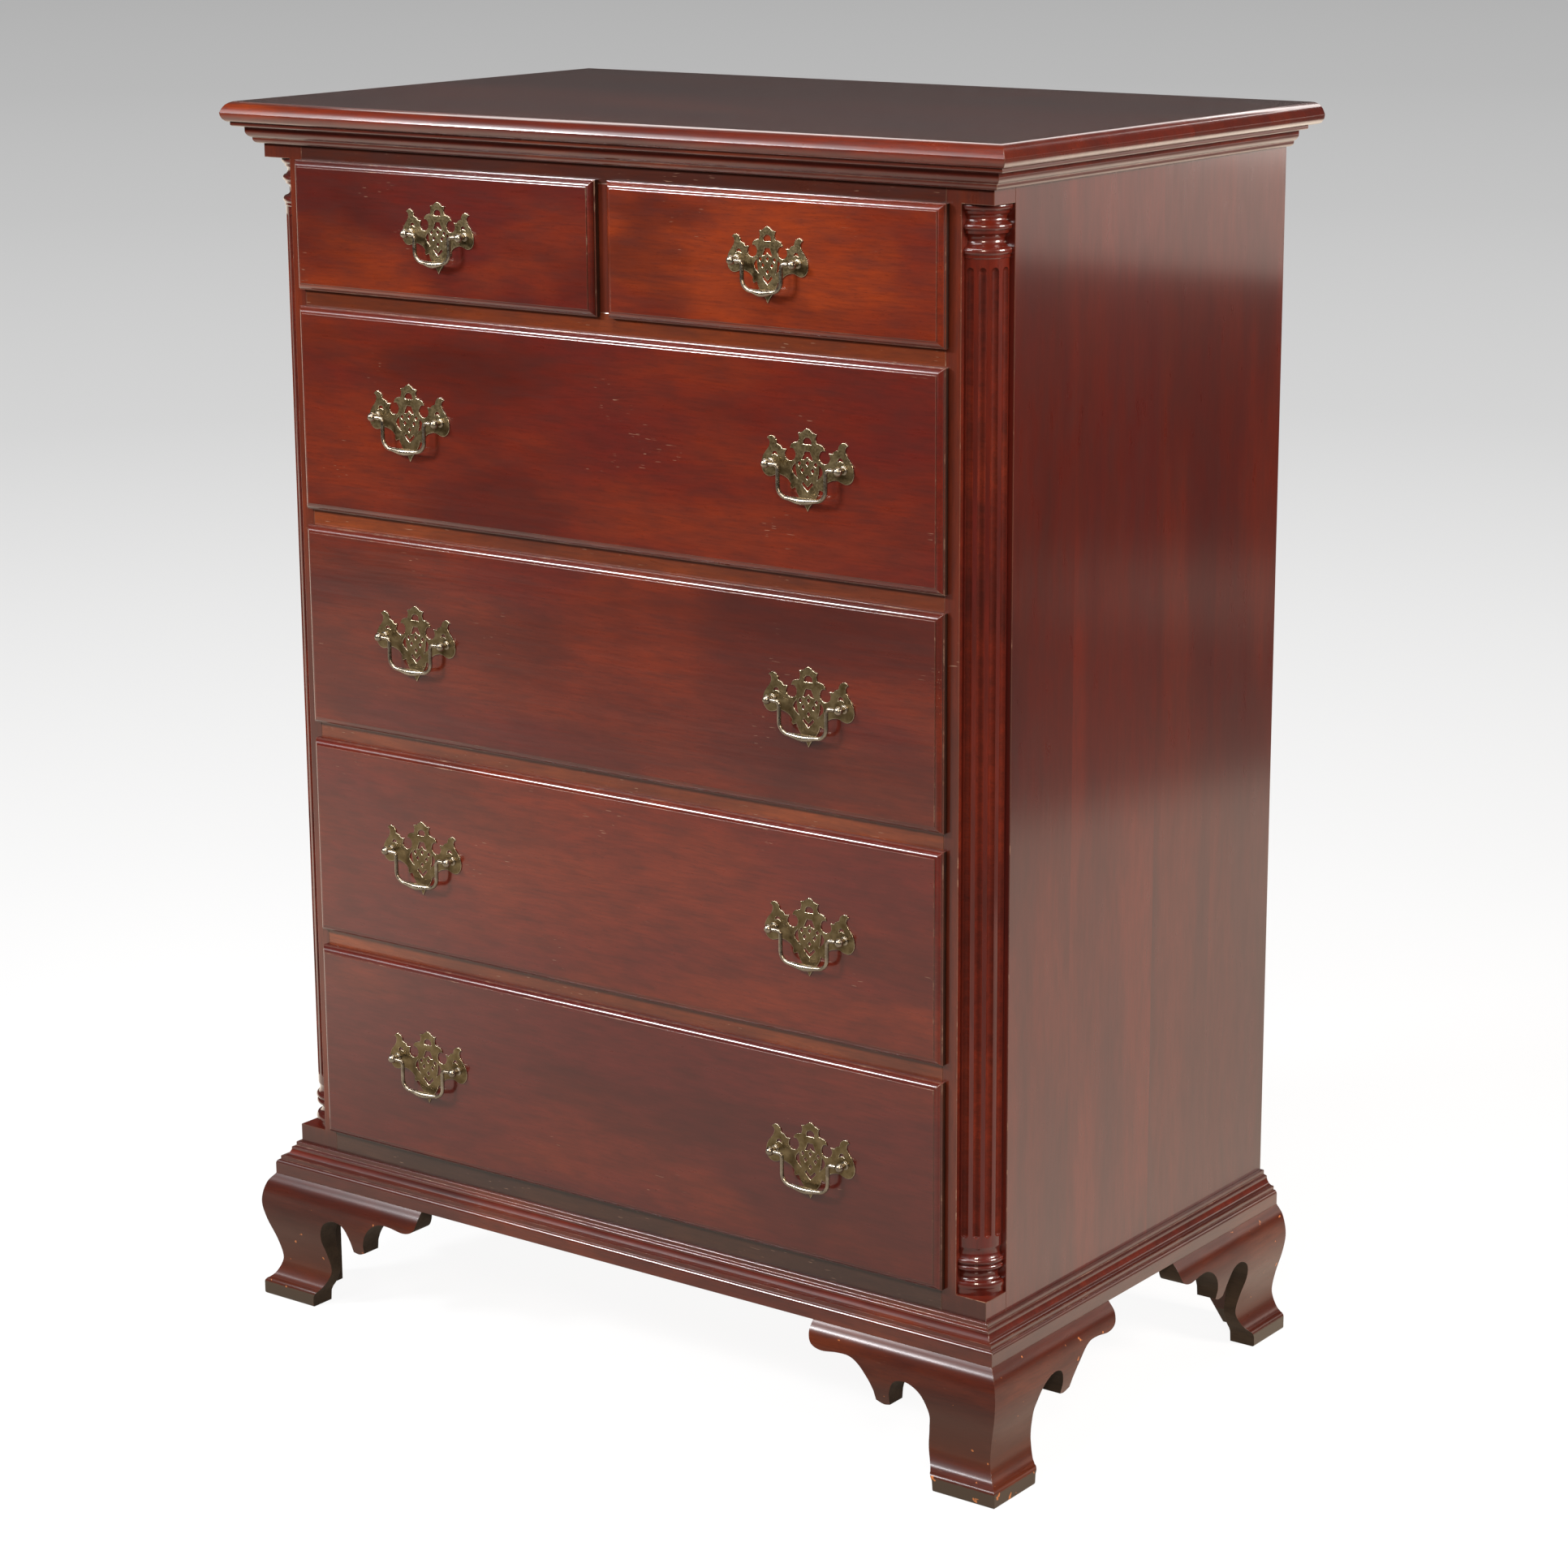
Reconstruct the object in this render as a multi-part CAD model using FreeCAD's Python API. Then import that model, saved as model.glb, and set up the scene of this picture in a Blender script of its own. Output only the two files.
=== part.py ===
import FreeCAD, Part
import math
import os

# A tall chest of six drawers, two small over four wide, with quarter columns in its
# front corners and ogee bracket feet. Millimetres, +Z up, front towards -Y.
# The working frame has X = 0 in the middle of the case, Y = 0 on the case's front face
# and Z = 0 on the floor. save() then moves every piece so that the middle of the whole
# chest's depth lies on Y = 0.

V = FreeCAD.Vector
X_AXIS = V(1, 0, 0)
Y_AXIS = V(0, 1, 0)
Z_AXIS = V(0, 0, 1)

# ---- Case: outside sizes and the heights of its bands, from the floor up ----
CASE_W = 945.0
CASE_D = 558.0
FOOT_H = 147.0
BASE_MOULD_H = 37.0
BOTTOM_REVEAL = 24.0        # rail that shows below the lowest drawer
LONG_FRONT_H = 222.5        # over the lip
RAIL_REVEAL = 18.0          # rail that shows between two drawers
SHORT_FRONT_H = 139.0
TOP_REVEAL = 15.0           # rail that shows above the top drawers
CORNICE_H = 23.0
TOP_T = 22.5
LONG_ROWS = 4

# ---- Case: boards ----
SIDE_T = 20.0
BACK_T = 10.0
BACK_BOARDS = 4
BOTTOM_T = 16.0
RAIL_D = 60.0
BOTTOM_RAIL_T = 22.0
POST_REVEAL = 50.5          # from the case's side to a drawer's lip
MULLION_REVEAL = 15.5
RUNNER_W = 52.0
MIDDLE_LEDGE = 25.0         # middle runner and kicker, beyond each side of the mullion
GUIDE_H = 15.0
KICKER_T = 20.0

# ---- Top board and mouldings ----
CORNICE_REACH = 25.3        # out from the case
NOSE_REACH = 8.0            # top board's nose, out from the cornice
TOP_BACK_OVERHANG = 21.0
NOSE_ROUND = 15.3           # width of the rounded stretch, seen from above
NOSE_UNDER = 7.3            # the same, seen from below
BASE_REACH = 22.0

# ---- Quarter columns and their recesses ----
RECESS = 37.0
RECESS_BELOW = 21.0         # square block above the base moulding
RECESS_ABOVE = 15.0         # square block below the cornice
SHAFT_R = 31.0
CAPITAL_H = 52.5
PLINTH_H = 50.8
FLUTE_COUNT = 4
FLUTE_R = 4.6
FLUTE_DEPTH = 2.4
FLUTE_END = 60.0            # from a column's end to the flutes' ends

# ---- Feet: lengths along a bracket are from the case's corner ----
FOOT_REACH = 34.8           # how far a foot's pad stands out from the case
BRACKET_BACK = 4.0          # back face of the bracket boards, out from the case
BRACKET_L = 201.0
PAD_L = 41.0
PAD_H = 16.0
PAD_LEAN = 1.0              # how far the pad's inner end leans out, and the step's height above the pad
PAD_STEP = 3.5              # from the pad's inner end on the floor to where the scroll begins
PAD_EDGE = 1.2              # worn-off corner around the pad's sole
REAR_SHIFT = 25.0           # a side bracket of a rear foot is this much longer
REAR_BRACKET_T = 22.0
REAR_BRACKET_L = 139.0      # along the case's underside
REAR_BRACKET_FOOT = 31.0    # along the floor
BLOCK_SIDE = 45.0
BLOCK_SHORT = 12.0          # a glue block ends this far above the floor

# Front curve of a bracket board above its pad: shares of the foot's reach and height.
OGEE = [(0.73, 0.171), (0.58, 0.245), (0.543, 0.318), (0.667, 0.456), (0.897, 0.633),
        (0.994, 0.782), (0.868, 0.922)]
# Lower edge of a bracket board: shares of the length beyond the pad and of the height.
INNER_SCROLL = [(0.066, 0.184), (0.099, 0.286), (0.081, 0.422), (0.061, 0.558), (0.106, 0.694),
                (0.206, 0.759), (0.306, 0.738), (0.356, 0.639), (0.369, 0.531)]
SCROLL_TIP = [(0.419, 0.522), (0.475, 0.544), (0.481, 0.619)]
OUTER_SCROLL = [(0.513, 0.701), (0.575, 0.787), (0.656, 0.835), (0.756, 0.838), (0.881, 0.822),
                (0.963, 0.847), (0.995, 0.912)]

# ---- Drawers ----
LIP_OVERLAP = 4.0
LIP_GAP = 0.3               # between a lip's back and the case
LIP_EDGE = 6.0              # a lip's outer edge stands out from the case
FACE_PROUD = 12.0           # a front's flat face stands out from the case
MOULD_W = 7.3               # width of the moulded edge
MOULD_FILLET = 1.0
MOULD_STEP = 1.1
MOULD_BULGE = (0.3, 0.68)   # mid point of the moulded arc: shares of its width and its rise
FRONT_INSIDE = 10.0         # a front's back face, in from the case's face
SIDE_CLEAR = 1.0
TOP_CLEAR = 1.5
RUN_GAP = 0.3               # between a drawer and its runners
DRAWER_SIDE_T = 11.0
DRAWER_BACK_T = 11.0
BACK_CLEAR = 30.0           # between a drawer and the case's back
DRAWER_SIDE_DROP = 6.0      # sides are this much lower than the front
DRAWER_BOTTOM_T = 7.0
DRAWER_BOTTOM_UP = 8.0
GROOVE = 5.0
TAIL_L = 12.0               # dovetails, into the front
TAIL_PITCH = 29.0           # aimed at; the height takes a whole number of them
TAIL_SPREAD = 2.0
PIN_W = 7.0                 # wood between two tails at their tips

# ---- Pulls: sizes shared by both patterns ----
PLATE_T = 1.2
BALL_R = 4.75
BALL_OUT = 9.8              # ball centre, out from the plate's front
STEM_R = 2.6
COLLAR_R = 4.6
COLLAR_T = 1.2
SHANK_R = 2.2
SHANK_CLEAR = 0.1
NUT_SIDE = 11.0
NUT_T = 4.0
PIN_R = 1.5
PIN_CLEAR = 0.05
PIN_IN_BALL = 4.6
WIRE_R = 2.1
WIRE_TO_BALL = 0.3
BAIL_TOP_BEND = 4.0
BAIL_LOW_BEND = 10.0
GRIP_R = 3.7
LONG_PULL_X = 262.5         # pull centre, from the middle of the case
PULL_UP = 2.0               # bail axis, above the middle of the drawer

# ---- Pulls: the large pattern of the wide drawers and the small one ----
LARGE_BORE = 88.9           # between post centres
LARGE_PLATE_W = 113.0
LARGE_CROWN = 37.5          # from the bail axis up to the plate's crown
LARGE_TAIL = 45.5           # from the bail axis down to the plate's tip
LARGE_BAIL_IN = 15.2        # from a post's centre to the bail's arm
LARGE_BAIL_DROP = 37.5      # from the axis to the grip's lowest point
SMALL_BORE = 75.0
SMALL_PLATE_W = 99.0
SMALL_CROWN = 34.5
SMALL_TAIL = 41.0
SMALL_BAIL_IN = 13.6
SMALL_BAIL_DROP = 34.0

# Right half of the plate's pattern, from the crown to the lowest tip. Across, 1 is half
# the plate's width; up and down, 1 is the crown's height and the tip's depth.
CROWN = [(0.0, 1.0), (0.08, 0.92), (0.2, 0.88), (0.178, 0.77), (0.208, 0.6)]
EAR = [(0.3, 0.59), (0.372, 0.52), (0.376, 0.43), (0.3, 0.43), (0.245, 0.33)]
NOTCH = [(0.265, 0.19), (0.33, 0.115), (0.43, 0.12), (0.484, 0.215), (0.492, 0.345)]
WING_STEPS = [(0.466, 0.4), (0.563, 0.405), (0.582, 0.475), (0.662, 0.525)]
WING_TIP = [(0.69, 0.66), (0.768, 0.715), (0.842, 0.71), (0.872, 0.655), (0.828, 0.61)]
WING = [(0.825, 0.5), (0.9, 0.3), (0.985, 0.08), (0.997, -0.09), (0.955, -0.22), (0.865, -0.305)]
SKIRT_TOP = [(0.76, -0.3), (0.655, -0.24), (0.53, -0.265), (0.4, -0.34), (0.365, -0.42)]
SKIRT = [(0.365, -0.48), (0.335, -0.53), (0.245, -0.49), (0.23, -0.58), (0.185, -0.68)]
TAIL = [(0.11, -0.8), (0.045, -0.89), (0.0, -1.0)]
# Piercings on the right half and on the middle line, in the same measure.
KITE = [(0.27, 0.05), (0.33, -0.12), (0.16, -0.27), (0.235, -0.11)]
HALF_MOON = [(0.65, 0.19), (0.7, 0.27), (0.76, 0.19)]
SIDE_DIAMONDS = [(0.185, 0.1), (0.115, -0.1), (0.11, -0.37)]
MID_DIAMONDS = [(0.0, 0.06), (0.0, -0.24)]
DIAMOND_HALF_W = 1.5
DIAMOND_HALF_H = 2.2
CHEVRON = [(0.055, -0.4), (0.095, -0.36), (0.0, -0.56), (-0.095, -0.36), (-0.055, -0.4), (0.0, -0.49)]
CROWN_SLOT = [(-0.085, 0.58), (0.085, 0.58), (0.085, 0.7), (0.0, 0.76), (-0.085, 0.7)]
ARCH_SLOT = [(-0.12, 0.17), (0.0, 0.24), (0.12, 0.17), (0.05, 0.4), (-0.05, 0.4)]

# ---- Worked out from the sizes above ----
HALF_W = CASE_W / 2
BASE_TOP = FOOT_H + BASE_MOULD_H
ROW_PITCH = LONG_FRONT_H + RAIL_REVEAL
LOWEST_LIP = BASE_TOP + BOTTOM_REVEAL
SHORT_LIP = LOWEST_LIP + LONG_ROWS * ROW_PITCH
CORNICE_BOTTOM = SHORT_LIP + SHORT_FRONT_H + TOP_REVEAL
CASE_TOP = CORNICE_BOTTOM + CORNICE_H
LIP_HALF = HALF_W - POST_REVEAL
OPEN_HALF = LIP_HALF - LIP_OVERLAP
MULLION_LIP = MULLION_REVEAL / 2
MULLION_HALF = MULLION_LIP + LIP_OVERLAP
RAIL_T = RAIL_REVEAL + 2 * LIP_OVERLAP
INSIDE_HALF = HALF_W - SIDE_T
BACK_Y = CASE_D - BACK_T
DRAWER_END = BACK_Y - BACK_CLEAR
TOP_RAIL_LOW = CORNICE_BOTTOM - TOP_REVEAL - LIP_OVERLAP
TOP_OVERHANG = CORNICE_REACH + NOSE_REACH
COLUMN_BOTTOM = BASE_TOP + RECESS_BELOW
COLUMN_TOP = CORNICE_BOTTOM - RECESS_ABOVE
FRONT_REACH = max(FOOT_REACH, TOP_OVERHANG)
SHIFT_Y = (FRONT_REACH - CASE_D - TOP_BACK_OVERHANG) / 2
FAR = CASE_W + CASE_D       # longer than any cut has to reach


def box(x0, x1, y0, y1, z0, z1):
    return Part.makeBox(x1 - x0, y1 - y0, z1 - z0, V(x0, y0, z0))


def mirrored(shape):
    return shape.mirror(V(0, 0, 0), X_AXIS)


def save(name, solids):
    """Write one piece, as its own solids, in the chest's frame."""
    group = Part.makeCompound(solids) if len(solids) > 1 else solids[0]
    group = group.copy()
    group.translate(V(0, SHIFT_Y, 0))
    group.exportStep("parts/" + name + ".step")


class Outline:
    """A closed flat outline of lines, arcs and smooth curves, drawn in (u, v)."""

    def __init__(self, place, u, v):
        self.place = place      # turns (u, v) into a point in space
        self.first = (u, v)
        self.at = (u, v)
        self.edges = []

    def line(self, u, v):
        self.edges.append(Part.LineSegment(self.place(*self.at), self.place(u, v)).toShape())
        self.at = (u, v)
        return self

    def lines(self, points):
        for point in points:
            self.line(*point)
        return self

    def arc(self, mid_u, mid_v, u, v):
        curve = Part.Arc(self.place(*self.at), self.place(mid_u, mid_v), self.place(u, v))
        self.edges.append(curve.toShape())
        self.at = (u, v)
        return self

    def curve(self, points):
        """A smooth curve through the points, from where the outline stands."""
        spline = Part.BSplineCurve()
        spline.interpolate([self.place(*point) for point in [self.at] + points])
        self.edges.append(spline.toShape())
        self.at = points[-1]
        return self

    def face(self):
        if self.at != self.first:
            self.line(*self.first)
        return Part.Face(Part.Wire(self.edges))

    def solid(self, travel):
        return self.face().extrude(travel)


# Places for outlines: "out" is the distance out from the case's front or side face.
def on_front_end(out, z):
    """The left end of a length that runs along the front."""
    return V(-FAR, -out, z)


def on_side_end(out, z):
    """The front end of a length that runs along the right side."""
    return V(HALF_W + out, -FAR, z)


def in_plan(x, y):
    return V(x, y, 0)


# ---- Mouldings ----
def scaled(end, reach, high, tall):
    """A place for a moulding's profile: across, 1 is its reach; down, 1 is its height."""
    def place(across, down):
        return end(across * reach, high - down * tall)

    return place


def cornice_profile(end):
    """Fillet under the top, quarter round, small step and bead."""
    path = Outline(scaled(end, CORNICE_REACH, CASE_TOP, CORNICE_H), 0, 0).line(1, 0).line(1, 0.113)
    path.arc(0.976, 0.165, 0.91, 0.191).line(0.593, 0.252).line(0.573, 0.274).line(0.573, 0.413)
    path.arc(0.498, 0.626, 0.348, 0.73).line(0.348, 0.783).arc(0.285, 0.939, 0.134, 1).line(0, 1)
    return path.face()


def base_profile(end):
    """Two small steps, a hollow, a fillet, a rounded shoulder and a flat fascia."""
    path = Outline(scaled(end, BASE_REACH, BASE_TOP, BASE_MOULD_H), 0, 0).line(0.173, 0)
    path.arc(0.205, 0.008, 0.218, 0.027).line(0.218, 0.13).line(0.355, 0.157)
    path.arc(0.386, 0.168, 0.395, 0.186).line(0.395, 0.232).arc(0.518, 0.373, 0.773, 0.438)
    path.arc(0.805, 0.446, 0.809, 0.465).line(0.809, 0.562).arc(0.945, 0.589, 1, 0.665)
    return path.line(1, 1).line(0, 1).face()


def nose_profile(end):
    """Section of the top board beyond the case: flat above and below, with a rounded nose."""
    path = Outline(scaled(end, 1, CASE_TOP + TOP_T, TOP_T), 0, 1).line(TOP_OVERHANG - NOSE_UNDER, 1)
    path.curve([(TOP_OVERHANG - 0.29 * NOSE_UNDER, 0.84), (TOP_OVERHANG, 0.556),
                (TOP_OVERHANG - 0.16 * NOSE_ROUND, 0.307), (TOP_OVERHANG - 0.5 * NOSE_ROUND, 0.084),
                (TOP_OVERHANG - NOSE_ROUND, 0)])
    return path.line(0, 0).face()


def mitred_set(profile, back):
    """Front, right and left lengths of a moulding, mitred at the front corners."""
    front_plan = [(HALF_W + FAR, -FAR), (HALF_W, 0), (-HALF_W, 0)]
    side_plan = [(HALF_W + FAR, -FAR), (HALF_W + FAR, back), (HALF_W, back)]
    front_region = Outline(in_plan, -HALF_W - FAR, -FAR).lines(front_plan).solid(V(0, 0, FAR * 2))
    side_region = Outline(in_plan, HALF_W, 0).lines(side_plan).solid(V(0, 0, FAR * 2))
    front = profile(on_front_end).extrude(V(2 * FAR, 0, 0)).common(front_region)
    right = profile(on_side_end).extrude(V(0, 2 * FAR, 0)).common(side_region)
    return [front.Solids[0], right.Solids[0], mirrored(right).Solids[0]]


def top_board():
    """One board with a rounded nose on three edges and a square back edge."""
    back = CASE_D + TOP_BACK_OVERHANG
    board = box(-HALF_W, HALF_W, 0, back, CASE_TOP, CASE_TOP + TOP_T)
    for nose in mitred_set(nose_profile, back):
        board = board.fuse(nose)
    return board.removeSplitter()


# ---- Case ----
def corner_post():
    """Right front post: square blocks above and below a recess, and an inner strip behind."""
    stick = box(OPEN_HALF, HALF_W, 0, RECESS, FOOT_H, CASE_TOP)
    recess = box(HALF_W - RECESS, HALF_W, 0, RECESS, COLUMN_BOTTOM, COLUMN_TOP)
    behind = box(OPEN_HALF, INSIDE_HALF, RECESS, RAIL_D, FOOT_H, CASE_TOP)
    return stick.cut(recess).fuse(behind).removeSplitter()


def column_profile():
    """Half section of the turned column, drawn out from its axis: r to the front, z up."""
    def place(r, z):
        return V(HALF_W - RECESS, RECESS - r, z)

    def foot(swell, up):
        return SHAFT_R * swell, COLUMN_BOTTOM + PLINTH_H * up

    def head(swell, down):
        return SHAFT_R * swell, COLUMN_TOP - CAPITAL_H * down

    path = Outline(place, 0, COLUMN_BOTTOM).line(*foot(1.077, 0)).line(*foot(1.077, 0.118))
    path.arc(*foot(1.103, 0.193), *foot(1.065, 0.266)).line(*foot(0.984, 0.276))
    path.arc(*foot(0.887, 0.394), *foot(0.984, 0.502)).arc(*foot(1.071, 0.561), *foot(0.994, 0.62))
    path.line(*foot(1, 0.634)).arc(*foot(1.087, 0.701), *foot(1, 0.768))
    path.arc(*foot(0.948, 0.876), *foot(0.994, 0.984)).line(*foot(1, 1)).line(*head(1, 1))
    path.line(*head(1.026, 0.981)).line(*head(1.026, 0.93)).arc(*head(1.087, 0.853), *head(0.987, 0.785))
    path.arc(*head(0.826, 0.667), *head(0.968, 0.545)).line(*head(0.987, 0.488))
    path.arc(*head(1.077, 0.419), *head(0.984, 0.354)).arc(*head(0.903, 0.267), *head(0.984, 0.183))
    path.line(*head(1, 0.133)).arc(*head(1.103, 0.067), *head(1.065, 0)).line(0, COLUMN_TOP)
    return path.face()


def quarter_column():
    """Right quarter column: a quarter turn of the profile, with round-ended flutes."""
    axis = V(HALF_W - RECESS, RECESS, 0)
    column = column_profile().revolve(axis, Z_AXIS, 90)
    low = COLUMN_BOTTOM + FLUTE_END + FLUTE_R
    high = COLUMN_TOP - FLUTE_END - FLUTE_R
    reach = SHAFT_R + FLUTE_R - FLUTE_DEPTH
    for index in range(FLUTE_COUNT):
        angle = math.radians(90 * (index + 0.5) / FLUTE_COUNT)
        foot = axis + V(reach * math.sin(angle), -reach * math.cos(angle), low)
        flute = Part.makeCylinder(FLUTE_R, high - low, foot, Z_AXIS)
        flute = flute.fuse(Part.makeSphere(FLUTE_R, foot))
        flute = flute.fuse(Part.makeSphere(FLUTE_R, foot + V(0, 0, high - low)))
        column = column.cut(flute)
    return column.Solids[0]


def rail_bottoms():
    """Underside of each rail between two drawer rows, from the lowest up."""
    first = LOWEST_LIP + LONG_FRONT_H - LIP_OVERLAP
    return [first + index * ROW_PITCH for index in range(LONG_ROWS)]


def mullion():
    low = rail_bottoms()[-1] + RAIL_T
    return box(-MULLION_HALF, MULLION_HALF, 0, RAIL_D, low, TOP_RAIL_LOW)


def side_runner(top):
    """Right runner for the drawer whose underside runs at this height, with its guide."""
    runner = box(INSIDE_HALF - RUNNER_W, INSIDE_HALF, RAIL_D, BACK_Y, top - RAIL_T, top)
    guide = box(OPEN_HALF, INSIDE_HALF, RAIL_D, BACK_Y, top, top + GUIDE_H)
    return runner.fuse(guide).removeSplitter()


def drawer_runners():
    bottom_row = LOWEST_LIP + LIP_OVERLAP
    tops = [bottom_row] + [low + RAIL_T for low in rail_bottoms()]
    solids = []
    for top in tops:
        solids += [side_runner(top), mirrored(side_runner(top))]
    middle = MULLION_HALF + MIDDLE_LEDGE
    base = box(-middle, middle, RAIL_D, BACK_Y, tops[-1] - RAIL_T, tops[-1])
    guide = box(-MULLION_HALF, MULLION_HALF, RAIL_D, BACK_Y, tops[-1], tops[-1] + GUIDE_H)
    solids.append(base.fuse(guide).removeSplitter())
    high = TOP_RAIL_LOW + KICKER_T
    kicker = box(INSIDE_HALF - RUNNER_W, INSIDE_HALF, RAIL_D, BACK_Y, TOP_RAIL_LOW, high)
    solids += [kicker, mirrored(kicker)]
    solids.append(box(-middle, middle, RAIL_D, BACK_Y, TOP_RAIL_LOW, high))
    return solids


def back_boards():
    width = 2 * INSIDE_HALF / BACK_BOARDS
    edges = [-INSIDE_HALF + index * width for index in range(BACK_BOARDS)]
    return [box(x, x + width, BACK_Y, CASE_D, FOOT_H, CASE_TOP) for x in edges]


def bottom_board():
    behind_rail = box(-OPEN_HALF, OPEN_HALF, BOTTOM_RAIL_T, BACK_Y, FOOT_H, FOOT_H + BOTTOM_T)
    behind_posts = box(-INSIDE_HALF, INSIDE_HALF, RAIL_D, BACK_Y, FOOT_H, FOOT_H + BOTTOM_T)
    return behind_rail.fuse(behind_posts).removeSplitter()


def build_case():
    side = box(INSIDE_HALF, HALF_W, RECESS, CASE_D, FOOT_H, CASE_TOP)
    rails = [box(-OPEN_HALF, OPEN_HALF, 0, RAIL_D, low, low + RAIL_T) for low in rail_bottoms()]
    bottom_rail_high = LOWEST_LIP + LIP_OVERLAP
    post = corner_post()
    column = quarter_column()
    save("top_panel", [top_board()])
    save("cornice_mouldings", mitred_set(cornice_profile, CASE_D))
    save("side_panel_right", [side])
    save("side_panel_left", [mirrored(side)])
    save("corner_post_right", [post])
    save("corner_post_left", [mirrored(post)])
    save("quarter_column_right", [column])
    save("quarter_column_left", [mirrored(column)])
    save("top_rail", [box(-OPEN_HALF, OPEN_HALF, 0, RAIL_D, TOP_RAIL_LOW, CASE_TOP)])
    save("drawer_rails", rails)
    save("bottom_rail", [box(-OPEN_HALF, OPEN_HALF, 0, BOTTOM_RAIL_T, FOOT_H, bottom_rail_high)])
    save("top_mullion", [mullion()])
    save("drawer_runners", drawer_runners())
    save("back_panel", back_boards())
    save("bottom_board", [bottom_board()])
    save("base_mouldings", mitred_set(base_profile, CASE_D))


# ---- Feet ----
def ogee_profile(end):
    """Section of a bracket board: pad, hollow, ankle and bulge."""
    worn = PAD_EDGE
    path = Outline(end, BRACKET_BACK, 0).line(FOOT_REACH - worn, 0)
    path.arc(FOOT_REACH - 0.3 * worn, 0.3 * worn, FOOT_REACH, worn).line(FOOT_REACH, PAD_H - worn)
    path.arc(FOOT_REACH - 0.3 * worn, PAD_H + 0.5 * worn, FOOT_REACH - 1.6 * worn, PAD_H + 1.5 * worn)
    swell = [(FOOT_REACH * out, FOOT_H * up) for out, up in OGEE]
    return path.curve(swell + [(BASE_REACH, FOOT_H)]).line(BRACKET_BACK, FOOT_H).face()


def bracket_region(along, start):
    """The scrolled outline in which a bracket board lies. u runs away from the corner."""
    def scroll(points):
        return [(PAD_L + (BRACKET_L - PAD_L) * u, FOOT_H * z) for u, z in points]

    path = Outline(along, start, -1).line(PAD_L, -1).line(PAD_L + PAD_LEAN, 0.75 * PAD_H)
    path.line(PAD_L + PAD_STEP, PAD_H + PAD_LEAN).curve(scroll(INNER_SCROLL))
    mid, tip, rise = scroll(SCROLL_TIP)
    path.curve([mid, tip]).line(*rise)
    path.curve(scroll(OUTER_SCROLL) + [(BRACKET_L, FOOT_H + 1)])
    return path.line(start, FOOT_H + 1).face()


def mitre_region(side):
    """Half of the front right corner, on the front or on the side of its mitre."""
    corner = [(HALF_W + FAR, -FAR), (HALF_W - FAR, FAR)]
    third = (HALF_W + FAR, FAR) if side else (HALF_W - FAR, -FAR)
    path = Outline(in_plan, *corner[0]).line(*corner[1]).line(*third)
    return path.solid(V(0, 0, FAR))


def glue_block(corner_y, inward):
    """A square block behind the brackets, under the case."""
    x1 = HALF_W + BRACKET_BACK
    y0 = min(corner_y, corner_y + inward * BLOCK_SIDE)
    return box(x1 - BLOCK_SIDE, x1, y0, y0 + BLOCK_SIDE, BLOCK_SHORT, FOOT_H)


def front_foot():
    """Right front foot: two mitred brackets and a block."""
    def on_front(u, z):
        return V(HALF_W - u, -FAR, z)

    def on_side(u, z):
        return V(-FAR, u, z)

    front = ogee_profile(on_front_end).extrude(V(2 * FAR, 0, 0))
    front = front.common(bracket_region(on_front, -FOOT_REACH - 1).extrude(V(0, 2 * FAR, 0)))
    front = front.common(mitre_region(side=False))
    side = ogee_profile(on_side_end).extrude(V(0, 2 * FAR, 0))
    side = side.common(bracket_region(on_side, -FOOT_REACH - 1).extrude(V(2 * FAR, 0, 0)))
    side = side.common(mitre_region(side=True))
    return [front.Solids[0], side.Solids[0], glue_block(-BRACKET_BACK, 1)]


def rear_foot():
    """Right rear foot: an ogee side bracket, a plain rear bracket and a block."""
    def on_side(u, z):
        return V(-FAR, CASE_D - REAR_SHIFT - u, z)

    side = ogee_profile(on_side_end).extrude(V(0, 2 * FAR, 0))
    side = side.common(bracket_region(on_side, -REAR_SHIFT).extrude(V(2 * FAR, 0, 0)))
    x1 = HALF_W + BRACKET_BACK

    def on_back(x, z):
        return V(x, CASE_D - REAR_BRACKET_T, z)

    rear = Outline(on_back, x1, 0).line(HALF_W - REAR_BRACKET_FOOT, 0)
    rear = rear.line(HALF_W - REAR_BRACKET_L, FOOT_H).line(x1, FOOT_H).solid(V(0, REAR_BRACKET_T, 0))
    return [side.Solids[0], rear, glue_block(CASE_D - REAR_BRACKET_T, -1)]


def build_feet():
    front = front_foot()
    rear = rear_foot()
    save("foot_front_right", front)
    save("foot_front_left", [mirrored(solid) for solid in front])
    save("foot_rear_right", rear)
    save("foot_rear_left", [mirrored(solid) for solid in rear])


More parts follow.
